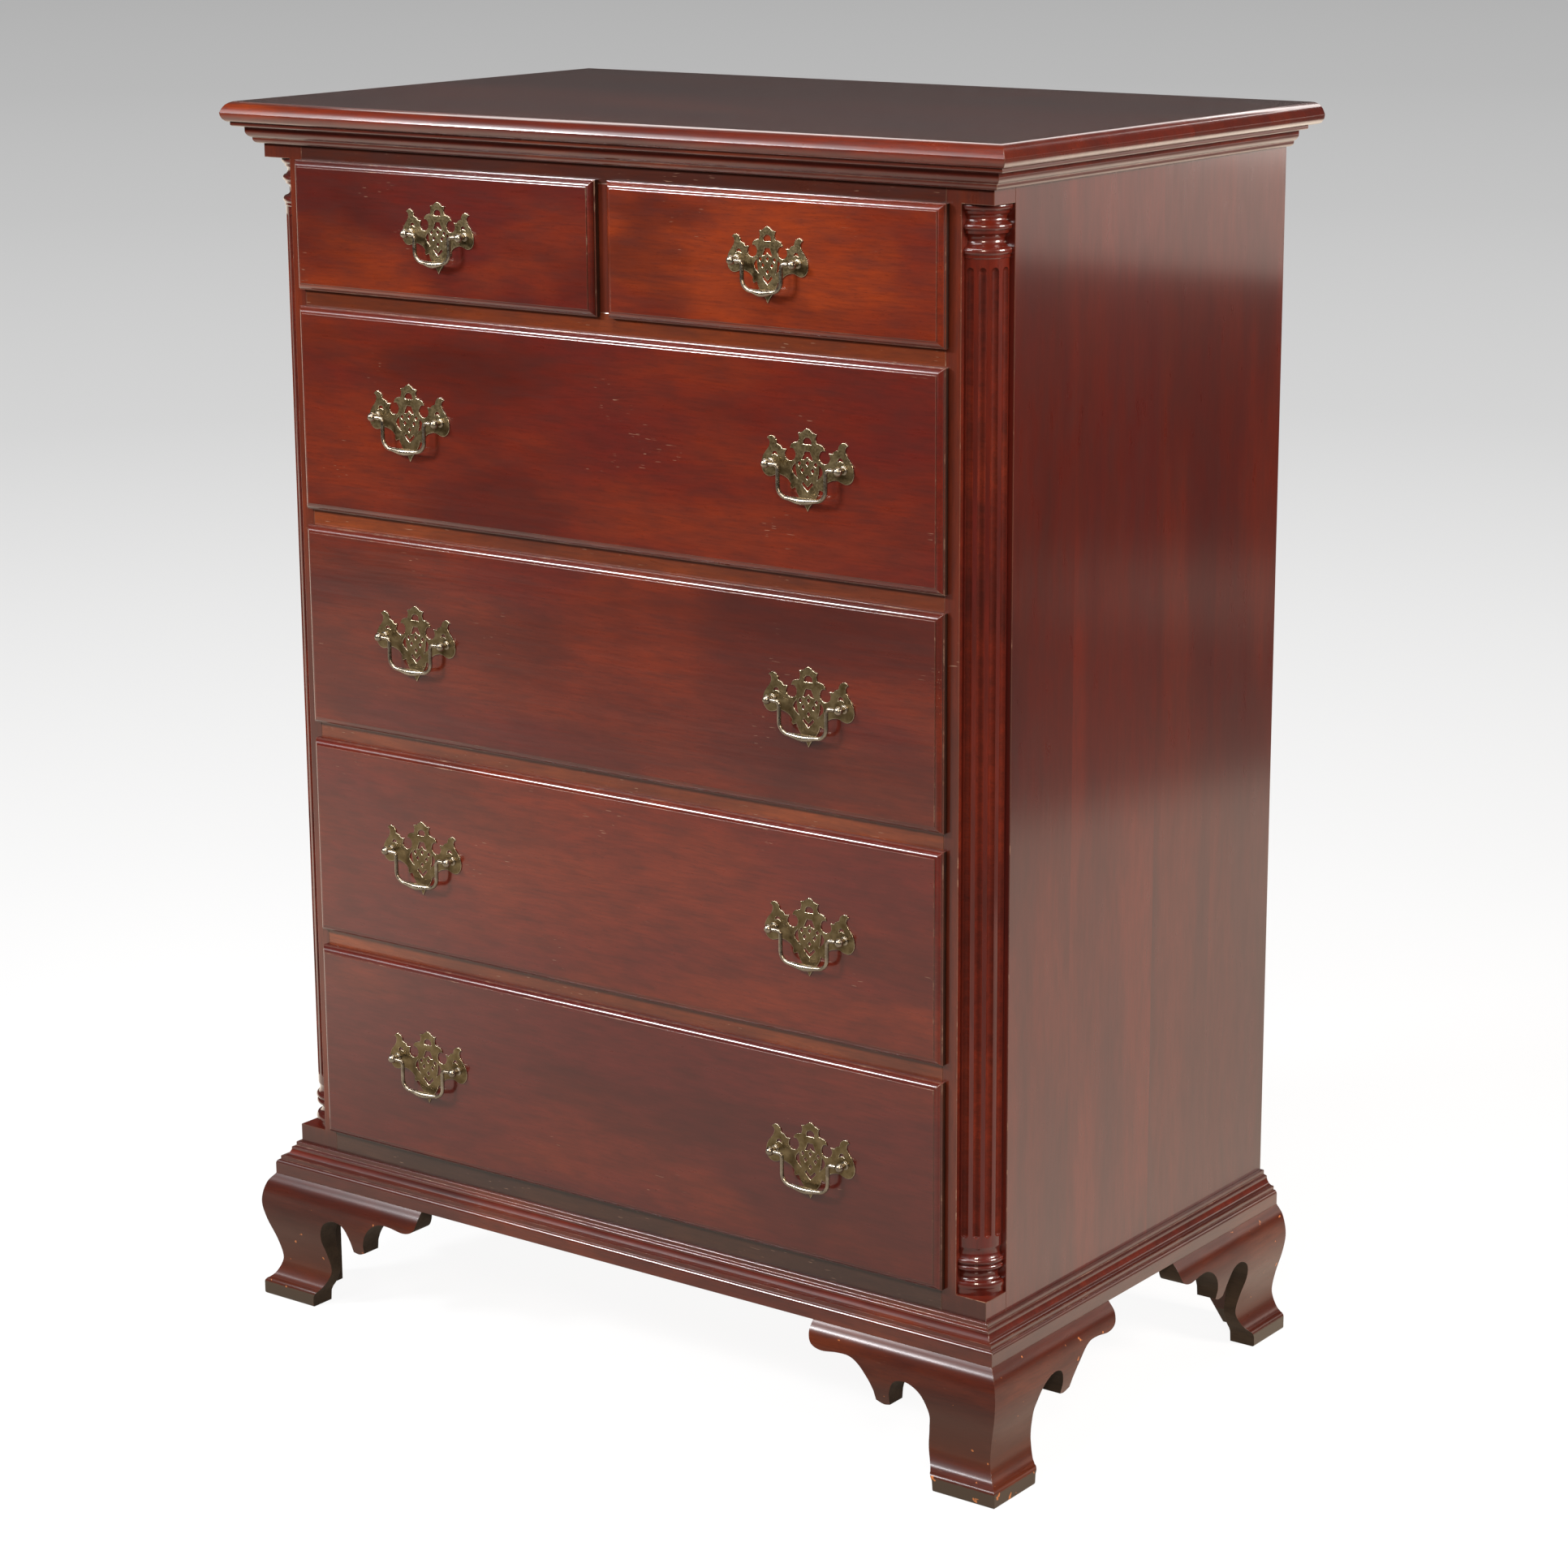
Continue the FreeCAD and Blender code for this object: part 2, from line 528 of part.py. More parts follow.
# ---- Pulls ----
class Pull:
    """One pull on a drawer front: where its middle is, and which of the two sizes it has."""

    def __init__(self, x, z, large):
        self.x = x
        self.z = z
        self.bore = LARGE_BORE if large else SMALL_BORE
        self.plate_w = LARGE_PLATE_W if large else SMALL_PLATE_W
        self.crown = LARGE_CROWN if large else SMALL_CROWN
        self.tail = LARGE_TAIL if large else SMALL_TAIL
        self.arm_x = self.bore / 2 - (LARGE_BAIL_IN if large else SMALL_BAIL_IN)
        self.drop = LARGE_BAIL_DROP if large else SMALL_BAIL_DROP
        self.plate_y = -FACE_PROUD - PLATE_T
        self.axis_y = self.plate_y - BALL_OUT

    def post_xs(self):
        return [self.x - self.bore / 2, self.x + self.bore / 2]

    def pattern(self, u, v):
        """A point of the plate's pattern, on the plate's front."""
        tall = self.crown if v > 0 else self.tail
        return V(self.x + u * self.plate_w / 2, self.plate_y, self.z + v * tall)

    def pierced(self, points):
        hole = Outline(self.pattern, *points[0]).lines(points[1:])
        return hole.solid(V(0, PLATE_T, 0))

    def diamond(self, u, v):
        mid = self.pattern(u, v)

        def near(du, dv):
            return mid + V(du, 0, dv)

        path = Outline(near, DIAMOND_HALF_W, 0).line(0, DIAMOND_HALF_H)
        path.line(-DIAMOND_HALF_W, 0).line(0, -DIAMOND_HALF_H)
        return path.solid(V(0, PLATE_T, 0))

    def plate(self):
        right = CROWN + EAR + NOTCH + WING_STEPS + WING_TIP + WING + SKIRT_TOP + SKIRT + TAIL
        left = [(-u, v) for u, v in reversed(right[1:-1])]
        path = Outline(self.pattern, *right[0]).lines(right[1:]).lines(left)
        plate = path.solid(V(0, PLATE_T, 0))
        holes = [self.pierced(CHEVRON), self.pierced(CROWN_SLOT), self.pierced(ARCH_SLOT)]
        for sign in (-1, 1):
            holes += [self.pierced([(sign * u, v) for u, v in shape]) for shape in (KITE, HALF_MOON)]
            holes += [self.diamond(sign * u, v) for u, v in SIDE_DIAMONDS]
        holes += [self.diamond(u, v) for u, v in MID_DIAMONDS]
        holes += [self.along_y(x, SHANK_R + SHANK_CLEAR, self.plate_y, PLATE_T) for x in self.post_xs()]
        for hole in holes:
            plate = plate.cut(hole)
        return plate

    def along_y(self, x, radius, y, length):
        return Part.makeCylinder(radius, length, V(x, y, self.z), Y_AXIS)

    def post(self, x):
        """A ball-headed post with its collar and shank, bored for the bail's pin."""
        inward = 1 if x < self.x else -1
        ball = Part.makeSphere(BALL_R, V(x, self.axis_y, self.z))
        stem = self.along_y(x, STEM_R, self.axis_y, BALL_OUT)
        collar = self.along_y(x, COLLAR_R, self.plate_y - COLLAR_T, COLLAR_T)
        shank_end = FRONT_INSIDE + NUT_T + 2 * COLLAR_T
        shank = self.along_y(x, SHANK_R, self.plate_y, shank_end - self.plate_y)
        post = ball.fuse(stem).fuse(collar).fuse(shank)
        bore_start = x + inward * (BALL_R - PIN_IN_BALL - PIN_CLEAR)
        bore = Part.makeCylinder(PIN_R + PIN_CLEAR, BALL_R + PIN_IN_BALL,
                                 V(bore_start, self.axis_y, self.z), X_AXIS * inward)
        return post.cut(bore)

    def nut(self, x):
        half = NUT_SIDE / 2
        block = box(x - half, x + half, FRONT_INSIDE, FRONT_INSIDE + NUT_T, self.z - half, self.z + half)
        return block.cut(self.along_y(x, SHANK_R + SHANK_CLEAR, FRONT_INSIDE, NUT_T))

    def front_holes(self):
        length = FACE_PROUD + FRONT_INSIDE
        return [self.along_y(x, SHANK_R + SHANK_CLEAR, -FACE_PROUD, length) for x in self.post_xs()]

    def bail_half(self):
        """Right half of the bail: pin, bends, arm and half of the swelled grip."""
        mid = V(self.x, self.axis_y, self.z)
        low = self.drop - GRIP_R
        pin_from = self.bore / 2 - BALL_R - WIRE_TO_BALL
        pin_to = self.bore / 2 - BALL_R + PIN_IN_BALL
        run_from = self.arm_x + BAIL_TOP_BEND
        grip_from = self.arm_x - BAIL_LOW_BEND
        arm_l = low - BAIL_TOP_BEND - BAIL_LOW_BEND
        half = Part.makeCylinder(PIN_R, pin_to - pin_from, mid + V(pin_from, 0, 0), X_AXIS)
        half = half.fuse(Part.makeCylinder(WIRE_R, pin_from - run_from, mid + V(run_from, 0, 0), X_AXIS))
        top_centre = mid + V(run_from, 0, -BAIL_TOP_BEND)
        low_centre = mid + V(grip_from, 0, BAIL_LOW_BEND - low)
        half = half.fuse(self.bend(top_centre, V(0, 0, BAIL_TOP_BEND), -Y_AXIS))
        arm_top = mid + V(self.arm_x, 0, -BAIL_TOP_BEND)
        half = half.fuse(Part.makeCylinder(WIRE_R, arm_l, arm_top, -Z_AXIS))
        half = half.fuse(self.bend(low_centre, V(BAIL_LOW_BEND, 0, 0), Y_AXIS))
        return half.fuse(self.grip(mid - V(0, 0, low), grip_from))

    def bend(self, centre, start, axis):
        """A quarter bend of the wire about a centre, from the start's side of it."""
        disc = Part.Face(Part.Wire(Part.makeCircle(WIRE_R, centre + start, axis.cross(start))))
        return disc.revolve(centre, axis, 90)

    def grip(self, centre, reach):
        """Half of the grip: a turned swell that is thickest in the middle."""
        def place(along, out):
            return centre + V(along, 0, out)

        path = Outline(place, 0, 0).line(0, GRIP_R)
        path.curve([(reach * 0.5, WIRE_R + (GRIP_R - WIRE_R) * 0.6), (reach, WIRE_R)]).line(reach, 0)
        return path.face().revolve(centre, X_AXIS, 360)

    def bail(self):
        half = self.bail_half()
        other = half.mirror(V(self.x, 0, 0), X_AXIS)
        return half.fuse(other).removeSplitter()


# ---- Drawers ----
class Drawer:
    """One drawer: the edges of its lip and of its opening, and the pulls on it."""

    def __init__(self, name, lip_x, open_x, lip_low, lip_high, pulls):
        self.name = name
        self.lip = (lip_x[0], lip_x[1], lip_low, lip_high)
        self.x0 = open_x[0] + SIDE_CLEAR
        self.x1 = open_x[1] - SIDE_CLEAR
        self.low = lip_low + LIP_OVERLAP + RUN_GAP
        self.high = lip_high - LIP_OVERLAP - TOP_CLEAR
        self.side_high = self.high - DRAWER_SIDE_DROP
        self.pulls = pulls

    def moulded(self, place, start, end, travel):
        """The lip's section between two edges, drawn across and extruded along."""
        shoulder = FACE_PROUD - MOULD_STEP
        across = MOULD_FILLET + MOULD_BULGE[0] * (MOULD_W - MOULD_FILLET)
        rise = LIP_EDGE + MOULD_BULGE[1] * (shoulder - LIP_EDGE)
        path = Outline(place, start, LIP_GAP).line(start, LIP_EDGE).line(start + MOULD_FILLET, LIP_EDGE)
        path.arc(start + across, rise, start + MOULD_W, shoulder).line(start + MOULD_W, FACE_PROUD)
        path.line(end - MOULD_W, FACE_PROUD).line(end - MOULD_W, shoulder)
        path.arc(end - across, rise, end - MOULD_FILLET, LIP_EDGE).line(end, LIP_EDGE)
        return path.line(end, LIP_GAP).solid(travel)

    def lipped_face(self):
        x0, x1, z0, z1 = self.lip

        def across(z, out):
            return V(x0, -out, z)

        def upright(x, out):
            return V(x, -out, z0)

        face = self.moulded(across, z0, z1, V(x1 - x0, 0, 0))
        return face.common(self.moulded(upright, x0, x1, V(0, 0, z1 - z0)))

    def bottom(self):
        """The bottom panel; its edges fill the grooves that are cut with it."""
        inset = DRAWER_SIDE_T - GROOVE
        z = self.low + DRAWER_BOTTOM_UP
        return box(self.x0 + inset, self.x1 - inset, FRONT_INSIDE - GROOVE, DRAWER_END,
                   z, z + DRAWER_BOTTOM_T)

    def tails(self, x, root_y, tip_y, low):
        """Dovetails of the side at x, as wedges that widen towards their tips."""
        count = round((self.side_high - low) / TAIL_PITCH)
        pitch = (self.side_high - low) / count
        tip = (pitch - PIN_W) / 2
        root = tip - TAIL_SPREAD
        wedges = []
        for index in range(count):
            mid = low + pitch * (index + 0.5)

            def place(y, z):
                return V(x, y, mid + z)

            path = Outline(place, root_y, -root).line(root_y, root).line(tip_y, tip).line(tip_y, -tip)
            wedges.append(path.solid(V(DRAWER_SIDE_T, 0, 0)))
        return wedges

    def boards(self):
        """The front, the two sides and the back, dovetailed and grooved for the bottom."""
        bottom = self.bottom()
        back_y = DRAWER_END - DRAWER_BACK_T
        back_low = self.low + DRAWER_BOTTOM_UP + DRAWER_BOTTOM_T
        front = self.lipped_face()
        front = front.fuse(box(self.x0, self.x1, -LIP_EDGE, FRONT_INSIDE, self.low, self.high))
        back = box(self.x0, self.x1, back_y, DRAWER_END, back_low, self.side_high)
        sides = []
        for x in (self.x0, self.x1 - DRAWER_SIDE_T):
            side = box(x, x + DRAWER_SIDE_T, FRONT_INSIDE, DRAWER_END, self.low, self.side_high)
            for tail in self.tails(x, FRONT_INSIDE, FRONT_INSIDE - TAIL_L, self.low):
                front = front.cut(tail)
                side = side.fuse(tail)
            for tail in self.tails(x, back_y, DRAWER_END, back_low):
                back = back.cut(tail)
            sides.append(side)
        front = front.cut(bottom).removeSplitter()
        sides = [side.cut(back).cut(bottom).removeSplitter() for side in sides]
        return front, sides + [back]

    def build(self):
        front, rest = self.boards()
        posts = []
        for pull in self.pulls:
            for x, hole in zip(pull.post_xs(), pull.front_holes()):
                front = front.cut(hole)
                posts += [pull.post(x), pull.nut(x)]
        save(self.name + "_front", [front])
        save(self.name + "_box", rest)
        save(self.name + "_bottom", [self.bottom()])
        save(self.name + "_pull_plates", [pull.plate() for pull in self.pulls])
        save(self.name + "_pull_posts", posts)
        places = ["_left_bail", "_right_bail"] if len(self.pulls) > 1 else ["_bail"]
        for pull, place in zip(self.pulls, places):
            save(self.name + place, [pull.bail()])


def long_drawer(name, row):
    low = LOWEST_LIP + row * ROW_PITCH
    pull_z = low + LONG_FRONT_H / 2 + PULL_UP
    pulls = [Pull(x, pull_z, large=True) for x in (-LONG_PULL_X, LONG_PULL_X)]
    return Drawer(name, (-LIP_HALF, LIP_HALF), (-OPEN_HALF, OPEN_HALF), low, low + LONG_FRONT_H, pulls)


def short_drawer(name, sign):
    lip_x = sorted([sign * MULLION_LIP, sign * LIP_HALF])
    open_x = sorted([sign * MULLION_HALF, sign * OPEN_HALF])
    pull = Pull(sum(lip_x) / 2, SHORT_LIP + SHORT_FRONT_H / 2 + PULL_UP, large=False)
    return Drawer(name, lip_x, open_x, SHORT_LIP, SHORT_LIP + SHORT_FRONT_H, [pull])


def main():
    os.makedirs("parts", exist_ok=True)
    build_case()
    build_feet()
    for row, name in enumerate(["bottom_drawer", "third_drawer", "second_drawer", "upper_drawer"]):
        long_drawer(name, row).build()
    short_drawer("top_left_drawer", -1).build()
    short_drawer("top_right_drawer", 1).build()


main()
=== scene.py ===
"""A tall chest of drawers with fluted quarter columns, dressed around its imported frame."""

import logging
import math
from abc import ABC, abstractmethod
from collections.abc import Callable, Iterator, Sequence
from contextlib import contextmanager
from dataclasses import dataclass, field
from enum import Enum
from typing import Any

import bmesh
import bpy
from mathutils import Matrix, Vector


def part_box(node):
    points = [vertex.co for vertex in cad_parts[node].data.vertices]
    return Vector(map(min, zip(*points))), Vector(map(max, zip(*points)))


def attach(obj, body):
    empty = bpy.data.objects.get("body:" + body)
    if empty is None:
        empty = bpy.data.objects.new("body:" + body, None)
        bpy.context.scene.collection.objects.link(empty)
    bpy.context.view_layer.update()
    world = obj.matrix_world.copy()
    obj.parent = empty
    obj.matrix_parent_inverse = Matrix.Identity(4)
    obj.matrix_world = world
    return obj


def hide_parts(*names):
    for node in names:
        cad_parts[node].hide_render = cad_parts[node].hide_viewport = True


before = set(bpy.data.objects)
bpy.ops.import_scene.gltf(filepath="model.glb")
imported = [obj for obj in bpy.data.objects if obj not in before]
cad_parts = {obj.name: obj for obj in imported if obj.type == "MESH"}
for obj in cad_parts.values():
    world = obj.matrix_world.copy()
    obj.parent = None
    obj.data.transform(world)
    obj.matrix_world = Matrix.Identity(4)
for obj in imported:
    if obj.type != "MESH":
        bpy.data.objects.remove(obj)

LOG = logging.getLogger("chest")
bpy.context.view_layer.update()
MM = 0.001
WELD = 1e-6                     # corners this close, in metres, are one after a cut or a turn
LOOSE_WELD = 2e-6               # the same after a copy or a conversion, which leaves them further apart
SAME_POINT = 1e-4               # points of an outline this close, in its own units, are one
FACING = 0.9                    # a face whose normal reaches this far along an axis faces that way
HALF_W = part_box("side_panel_right")[1].x
FRONT_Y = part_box("corner_post_right")[0].y
BACK_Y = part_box("back_panel")[1].y

Pair = tuple[float, float]
Piece = bpy.types.Object
Material = bpy.types.Material
Tree = bpy.types.NodeTree
Node = bpy.types.Node
Socket = bpy.types.NodeSocket
Layer = tuple[Socket, str]      # a share that varies over the surface, and the hex colour laid over it


# ---------------------------------------------------------------- places and outlines
def at(x: float, y: float, z: float) -> Vector:
    """Turn millimetres into a point of the chest.

    Args:
        x: Millimetres to the right of the chest's middle.
        y: Millimetres behind the case's front face.
        z: Millimetres above the floor.

    Returns:
        The point in metres.
    """
    return Vector((x * MM, FRONT_Y + y * MM, z * MM))


class Outline:
    """A flat line of straight runs, arcs and smooth curves, kept as close points."""

    def __init__(self, u: float, v: float) -> None:
        """Start the line at (u, v)."""
        self.points: list[Pair] = [(u, v)]

    def line(self, *ends: Pair) -> "Outline":
        """Go straight to each end in turn."""
        self.points.extend(ends)
        return self

    def arc(self, mid: Pair, end: Pair, steps: int = 8) -> "Outline":
        """Go round on a circle.

        Args:
            mid: A point that the arc passes.
            end: Where it ends.
            steps: How many straight pieces stand for it.

        Returns:
            This outline.
        """
        (ax, ay), (bx, by), (cx, cy) = self.points[-1], mid, end
        span = 2 * (ax * (by - cy) + bx * (cy - ay) + cx * (ay - by))
        a2, b2, c2 = ax * ax + ay * ay, bx * bx + by * by, cx * cx + cy * cy
        ox = (a2 * (by - cy) + b2 * (cy - ay) + c2 * (ay - by)) / span
        oy = (a2 * (cx - bx) + b2 * (ax - cx) + c2 * (bx - ax)) / span
        start, via, stop = (math.atan2(y - oy, x - ox) for x, y in (self.points[-1], mid, end))
        turn = (stop - start) % (2 * math.pi)
        if (via - start) % (2 * math.pi) > turn:
            turn -= 2 * math.pi
        radius = math.hypot(ax - ox, ay - oy)
        for step in range(1, steps):
            angle = start + turn * step / steps
            self.points.append((ox + radius * math.cos(angle), oy + radius * math.sin(angle)))
        self.points.append(end)
        return self

    def curve(self, through: Sequence[Pair], steps: int = 6) -> "Outline":
        """Go on smoothly through some points.

        Args:
            through: The points, the last of which ends the curve.
            steps: How many straight pieces stand for each stretch.

        Returns:
            This outline.
        """
        knots = [Vector(self.points[-1])] + [Vector(point) for point in through]
        knots = [2 * knots[0] - knots[1]] + knots + [2 * knots[-1] - knots[-2]]
        for before, start, end, after in zip(knots, knots[1:], knots[2:], knots[3:]):
            lean_in = (end - before) / 2
            lean_out = (after - start) / 2
            for step in range(1, steps + 1):
                t = step / steps
                h = 2 * t**3 - 3 * t**2 + 1, t**3 - 2 * t**2 + t, 3 * t**2 - 2 * t**3, t**3 - t**2
                spot = h[0] * start + h[1] * lean_in + h[2] * end + h[3] * lean_out
                self.points.append((spot.x, spot.y))
        return self

    def closed(self) -> list[Pair]:
        """Close the outline.

        Returns:
            Its points, without one that repeats the one before it.
        """
        kept: list[Pair] = []
        for point in self.points:
            if not kept or math.dist(point, kept[-1]) > SAME_POINT:
                kept.append(point)
        if math.dist(kept[0], kept[-1]) < SAME_POINT:
            kept.pop()
        return kept


# ---------------------------------------------------------------- bench work
def take(*pieces: Piece) -> None:
    """Select some pieces only, the first of them active.

    Args:
        *pieces: The pieces. Without any, nothing stays selected.
    """
    for other in list(bpy.context.selected_objects):
        other.select_set(False)
    for piece in pieces:
        piece.select_set(True)
    if pieces:
        bpy.context.view_layer.objects.active = pieces[0]


@contextmanager
def opened(piece: Piece) -> Iterator[None]:
    """Hold a piece in edit mode while the block runs.

    Args:
        piece: The piece.

    Yields:
        Nothing; all of the piece is selected.
    """
    take(piece)
    bpy.ops.object.mode_set(mode="EDIT")
    bpy.ops.mesh.select_mode(type="FACE")
    bpy.ops.mesh.select_all(action="SELECT")
    yield
    bpy.ops.object.mode_set(mode="OBJECT")


def choose(piece: Piece, wanted: Callable[[Vector, Vector], bool]) -> None:
    """Select the faces of an opened piece.

    Args:
        piece: A piece in edit mode.
        wanted: Says of a face, by its middle and its normal, whether it is chosen.
    """
    bpy.ops.mesh.select_all(action="DESELECT")
    shape = bmesh.from_edit_mesh(piece.data)
    for face in shape.faces:
        face.select_set(wanted(face.calc_center_median(), face.normal))
    bmesh.update_edit_mesh(piece.data)


def settled(name: str) -> Piece:
    """Put the active piece's place, turn and scale into its mesh.

    Args:
        name: The piece's name from now on.

    Returns:
        The piece.
    """
    piece = bpy.context.object
    piece.name = name
    take(piece)
    bpy.ops.object.transform_apply(location=True, rotation=True, scale=True)
    return piece


def added(name: str, data: bpy.types.ID) -> Piece:
    """Put a mesh, lamp or camera into the scene.

    Args:
        name: The object's name.
        data: The mesh, lamp or camera.

    Returns:
        The object.
    """
    holder = bpy.data.objects.new(name, data)
    bpy.context.scene.collection.objects.link(holder)
    return holder


def block(name: str, low: Vector, high: Vector) -> Piece:
    """Add a square block.

    Args:
        name: The new piece's name.
        low: Its left, front and lower corner.
        high: Its right, back and upper corner.

    Returns:
        The block.
    """
    take()
    bpy.ops.mesh.primitive_cube_add(size=1, location=(low + high) / 2, scale=high - low)
    return settled(name)


def face_through(name: str, corners: Sequence[Vector]) -> Piece:
    """Lay one flat face through some points.

    Args:
        name: The new piece's name.
        corners: The points, in order round the face.

    Returns:
        The face.
    """
    take()
    bpy.ops.mesh.primitive_circle_add(vertices=len(corners), fill_type="NGON")
    piece = settled(name)
    for corner, spot in zip(piece.data.vertices, corners):
        corner.co = spot
    return piece


def welded(within: float) -> None:
    """Weld the opened piece's corners and turn its faces outward.

    Args:
        within: Corners this close, in metres, become one.
    """
    bpy.ops.mesh.select_all(action="SELECT")
    bpy.ops.mesh.remove_doubles(threshold=within)
    bpy.ops.mesh.normals_make_consistent(inside=False)


def section(name: str, outline: Sequence[Pair], place: Callable[[float, float], Vector],
            travel: Vector) -> Piece:
    """Cut a length of stock with a given section.

    Args:
        name: The new piece's name.
        outline: The section's points, in millimetres.
        place: Puts a point of the section into the chest.
        travel: From one end of the length to the other, in metres.

    Returns:
        The closed length.
    """
    piece = face_through(name, [place(u, v) for u, v in outline])
    with opened(piece):
        bpy.ops.mesh.extrude_region_move(TRANSFORM_OT_translate={"value": travel})
        bpy.ops.mesh.select_all(action="SELECT")
        bpy.ops.mesh.normals_make_consistent(inside=False)
    return piece


def sawn(piece: Piece, spot: Vector, away: Vector) -> Piece:
    """Saw a piece at a plane and close the cut.

    Args:
        piece: The piece, which loses its part beyond the plane.
        spot: A point of the plane.
        away: The direction of the part that goes.

    Returns:
        The same piece.
    """
    with opened(piece):
        bpy.ops.mesh.bisect(plane_co=spot, plane_no=away, use_fill=True, clear_outer=True, threshold=WELD)
        welded(WELD)
    return piece


def joined(name: str, pieces: Sequence[Piece]) -> Piece:
    """Make several pieces one object.

    Args:
        name: The object's name and its mesh's.
        pieces: The pieces, which are used up.

    Returns:
        The object.
    """
    take(*pieces)
    if len(pieces) > 1:
        bpy.ops.object.join()
    piece = bpy.context.object
    piece.name = name
    piece.data.name = name
    return piece


def copied(piece: Piece, shift: Vector | None = None, flip: bool = False) -> Piece:
    """Copy a piece with its own mesh.

    Args:
        piece: What is copied.
        shift: How far the copy moves, in metres.
        flip: Whether the copy is turned to its mirror image about the chest's middle first.

    Returns:
        The copy.
    """
    twin = piece.copy()
    twin.data = piece.data.copy()
    bpy.context.scene.collection.objects.link(twin)
    if flip:
        twin.data.transform(Matrix.Scale(-1, 4, Vector((1, 0, 0))))
        twin.data.flip_normals()
    if shift is not None:
        twin.data.transform(Matrix.Translation(shift))
    return twin


def merged(piece: Piece, cut: Piece, operation: str) -> Piece:
    """Add another piece, take it away or keep only the common part.

    Args:
        piece: The piece that stays.
        cut: The other one, which is used up.
        operation: UNION, DIFFERENCE or INTERSECT.

    Returns:
        The first piece.
    """
    take(piece)
    tool = piece.modifiers.new("fit", "BOOLEAN")
    tool.object = cut
    tool.operation = operation
    tool.solver = "EXACT"
    bpy.ops.object.modifier_apply(modifier=tool.name)
    bpy.data.objects.remove(cut)
    return piece


def by_solid(shape: bpy.types.Mesh) -> list[set[int]]:
    """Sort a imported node's faces by the solid that they close.

    They come one solid after another, so a solid is whole where none of its edges is left unmet.

    Args:
        shape: The node's mesh of loose triangles.

    Returns:
        Each solid's face numbers.
    """
    solids: list[set[int]] = [set()]
    unmet: set[frozenset[tuple[int, ...]]] = set()
    for face in shape.polygons:
        solids[-1].add(face.index)
        corners = [tuple(round(number / WELD) for number in shape.vertices[index].co) for index in face.vertices]
        if len(set(corners)) == 3:
            unmet ^= {frozenset(edge) for edge in zip(corners, corners[1:] + corners[:1])}
        if not unmet:
            solids.append(set())
    return [solid for solid in solids if solid]


def node_copy(node: str, name: str) -> Piece:
    """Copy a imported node's shape as clean closed boards with flat faces.

    Args:
        node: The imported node.
        name: The new piece's name.

    Returns:
        The copy, its boards touching and not grown together.
    """
    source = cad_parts[node]
    boards = []
    flat = math.radians(0.5)
    for solid in by_solid(source.data):
        board = added(name, source.data.copy())
        board.data.materials.clear()
        with opened(board):
            shape = bmesh.from_edit_mesh(board.data)
            for face in shape.faces:
                face.select_set(face.index not in solid)
            bmesh.update_edit_mesh(board.data)
            bpy.ops.mesh.delete(type="FACE")
            bpy.ops.mesh.select_all(action="SELECT")
            bpy.ops.mesh.customdata_custom_splitnormals_clear()
            bpy.ops.mesh.remove_doubles(threshold=LOOSE_WELD)
            bpy.ops.mesh.dissolve_limited(angle_limit=flat)
        boards.append(board)
    return joined(name, boards)


def smoothed(piece: Piece, limit: float) -> Piece:
    """Shade a piece smooth but for its sharp edges.

    Args:
        piece: The piece.
        limit: Edges that turn more than this, in degrees, stay sharp.

    Returns:
        The same piece.
    """
    take(piece)
    bpy.ops.object.shade_smooth_by_angle(angle=math.radians(limit))
    return piece


def eased(piece: Piece, width: float, worn: int = 1, limit: float = 38.0, segments: int = 2) -> Piece:
    """Round a piece's sharp edges and shade it, flat faces flat and curved ones smooth.

    Args:
        piece: The piece, with its materials on.
        width: The rounding's width in millimetres.
        worn: The material slot of the rounded edges.
        limit: Edges that turn more than this, in degrees, are rounded.
        segments: How many faces a rounding has across.

    Returns:
        The same piece.
    """
    smoothed(piece, limit)
    if width > 0:
        round_over = piece.modifiers.new("round over", "BEVEL")
        round_over.width = width * MM
        round_over.segments = segments
        round_over.limit_method = "ANGLE"
        round_over.angle_limit = math.radians(limit)
        round_over.material = worn
        round_over.use_clamp_overlap = True
        round_over.miter_outer = "MITER_ARC"
        bpy.ops.object.modifier_apply(modifier=round_over.name)
        smoothed(piece, limit)
    level = piece.modifiers.new("level faces", "WEIGHTED_NORMAL")
    level.keep_sharp = True
    bpy.ops.object.modifier_apply(modifier=level.name)
    return piece


def finished(piece: Piece, body: str, slot: str, *nodes: str) -> Piece:
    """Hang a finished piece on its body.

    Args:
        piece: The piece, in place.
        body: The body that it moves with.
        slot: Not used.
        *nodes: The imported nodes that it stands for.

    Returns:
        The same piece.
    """
    piece.data.name = piece.name
    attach(piece, body)
    if nodes:
        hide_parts(*nodes)
    LOG.info("%s: %d faces on %s", piece.name, len(piece.data.polygons), body)
    return piece


def dressed(piece: Piece, *finishes: Material) -> Piece:
    """Put materials on a piece.

    Args:
        piece: The piece.
        *finishes: Its materials, in slot order.

    Returns:
        The same piece.
    """
    piece.data.materials.clear()
    for finish in finishes:
        piece.data.materials.append(finish)
    return piece


# ---------------------------------------------------------------- finishes
def linear(code: str) -> tuple[float, float, float, float]:
    """Turn an sRGB hex colour into the linear values that a shader takes.

    Args:
        code: The colour, as #rrggbb.

    Returns:
        Red, green, blue and full cover.
    """
    levels = [int(code[start:start + 2], 16) / 255 for start in (1, 3, 5)]
    red, green, blue = (v / 12.92 if v <= 0.04045 else ((v + 0.055) / 1.055) ** 2.4 for v in levels)
    return red, green, blue, 1.0


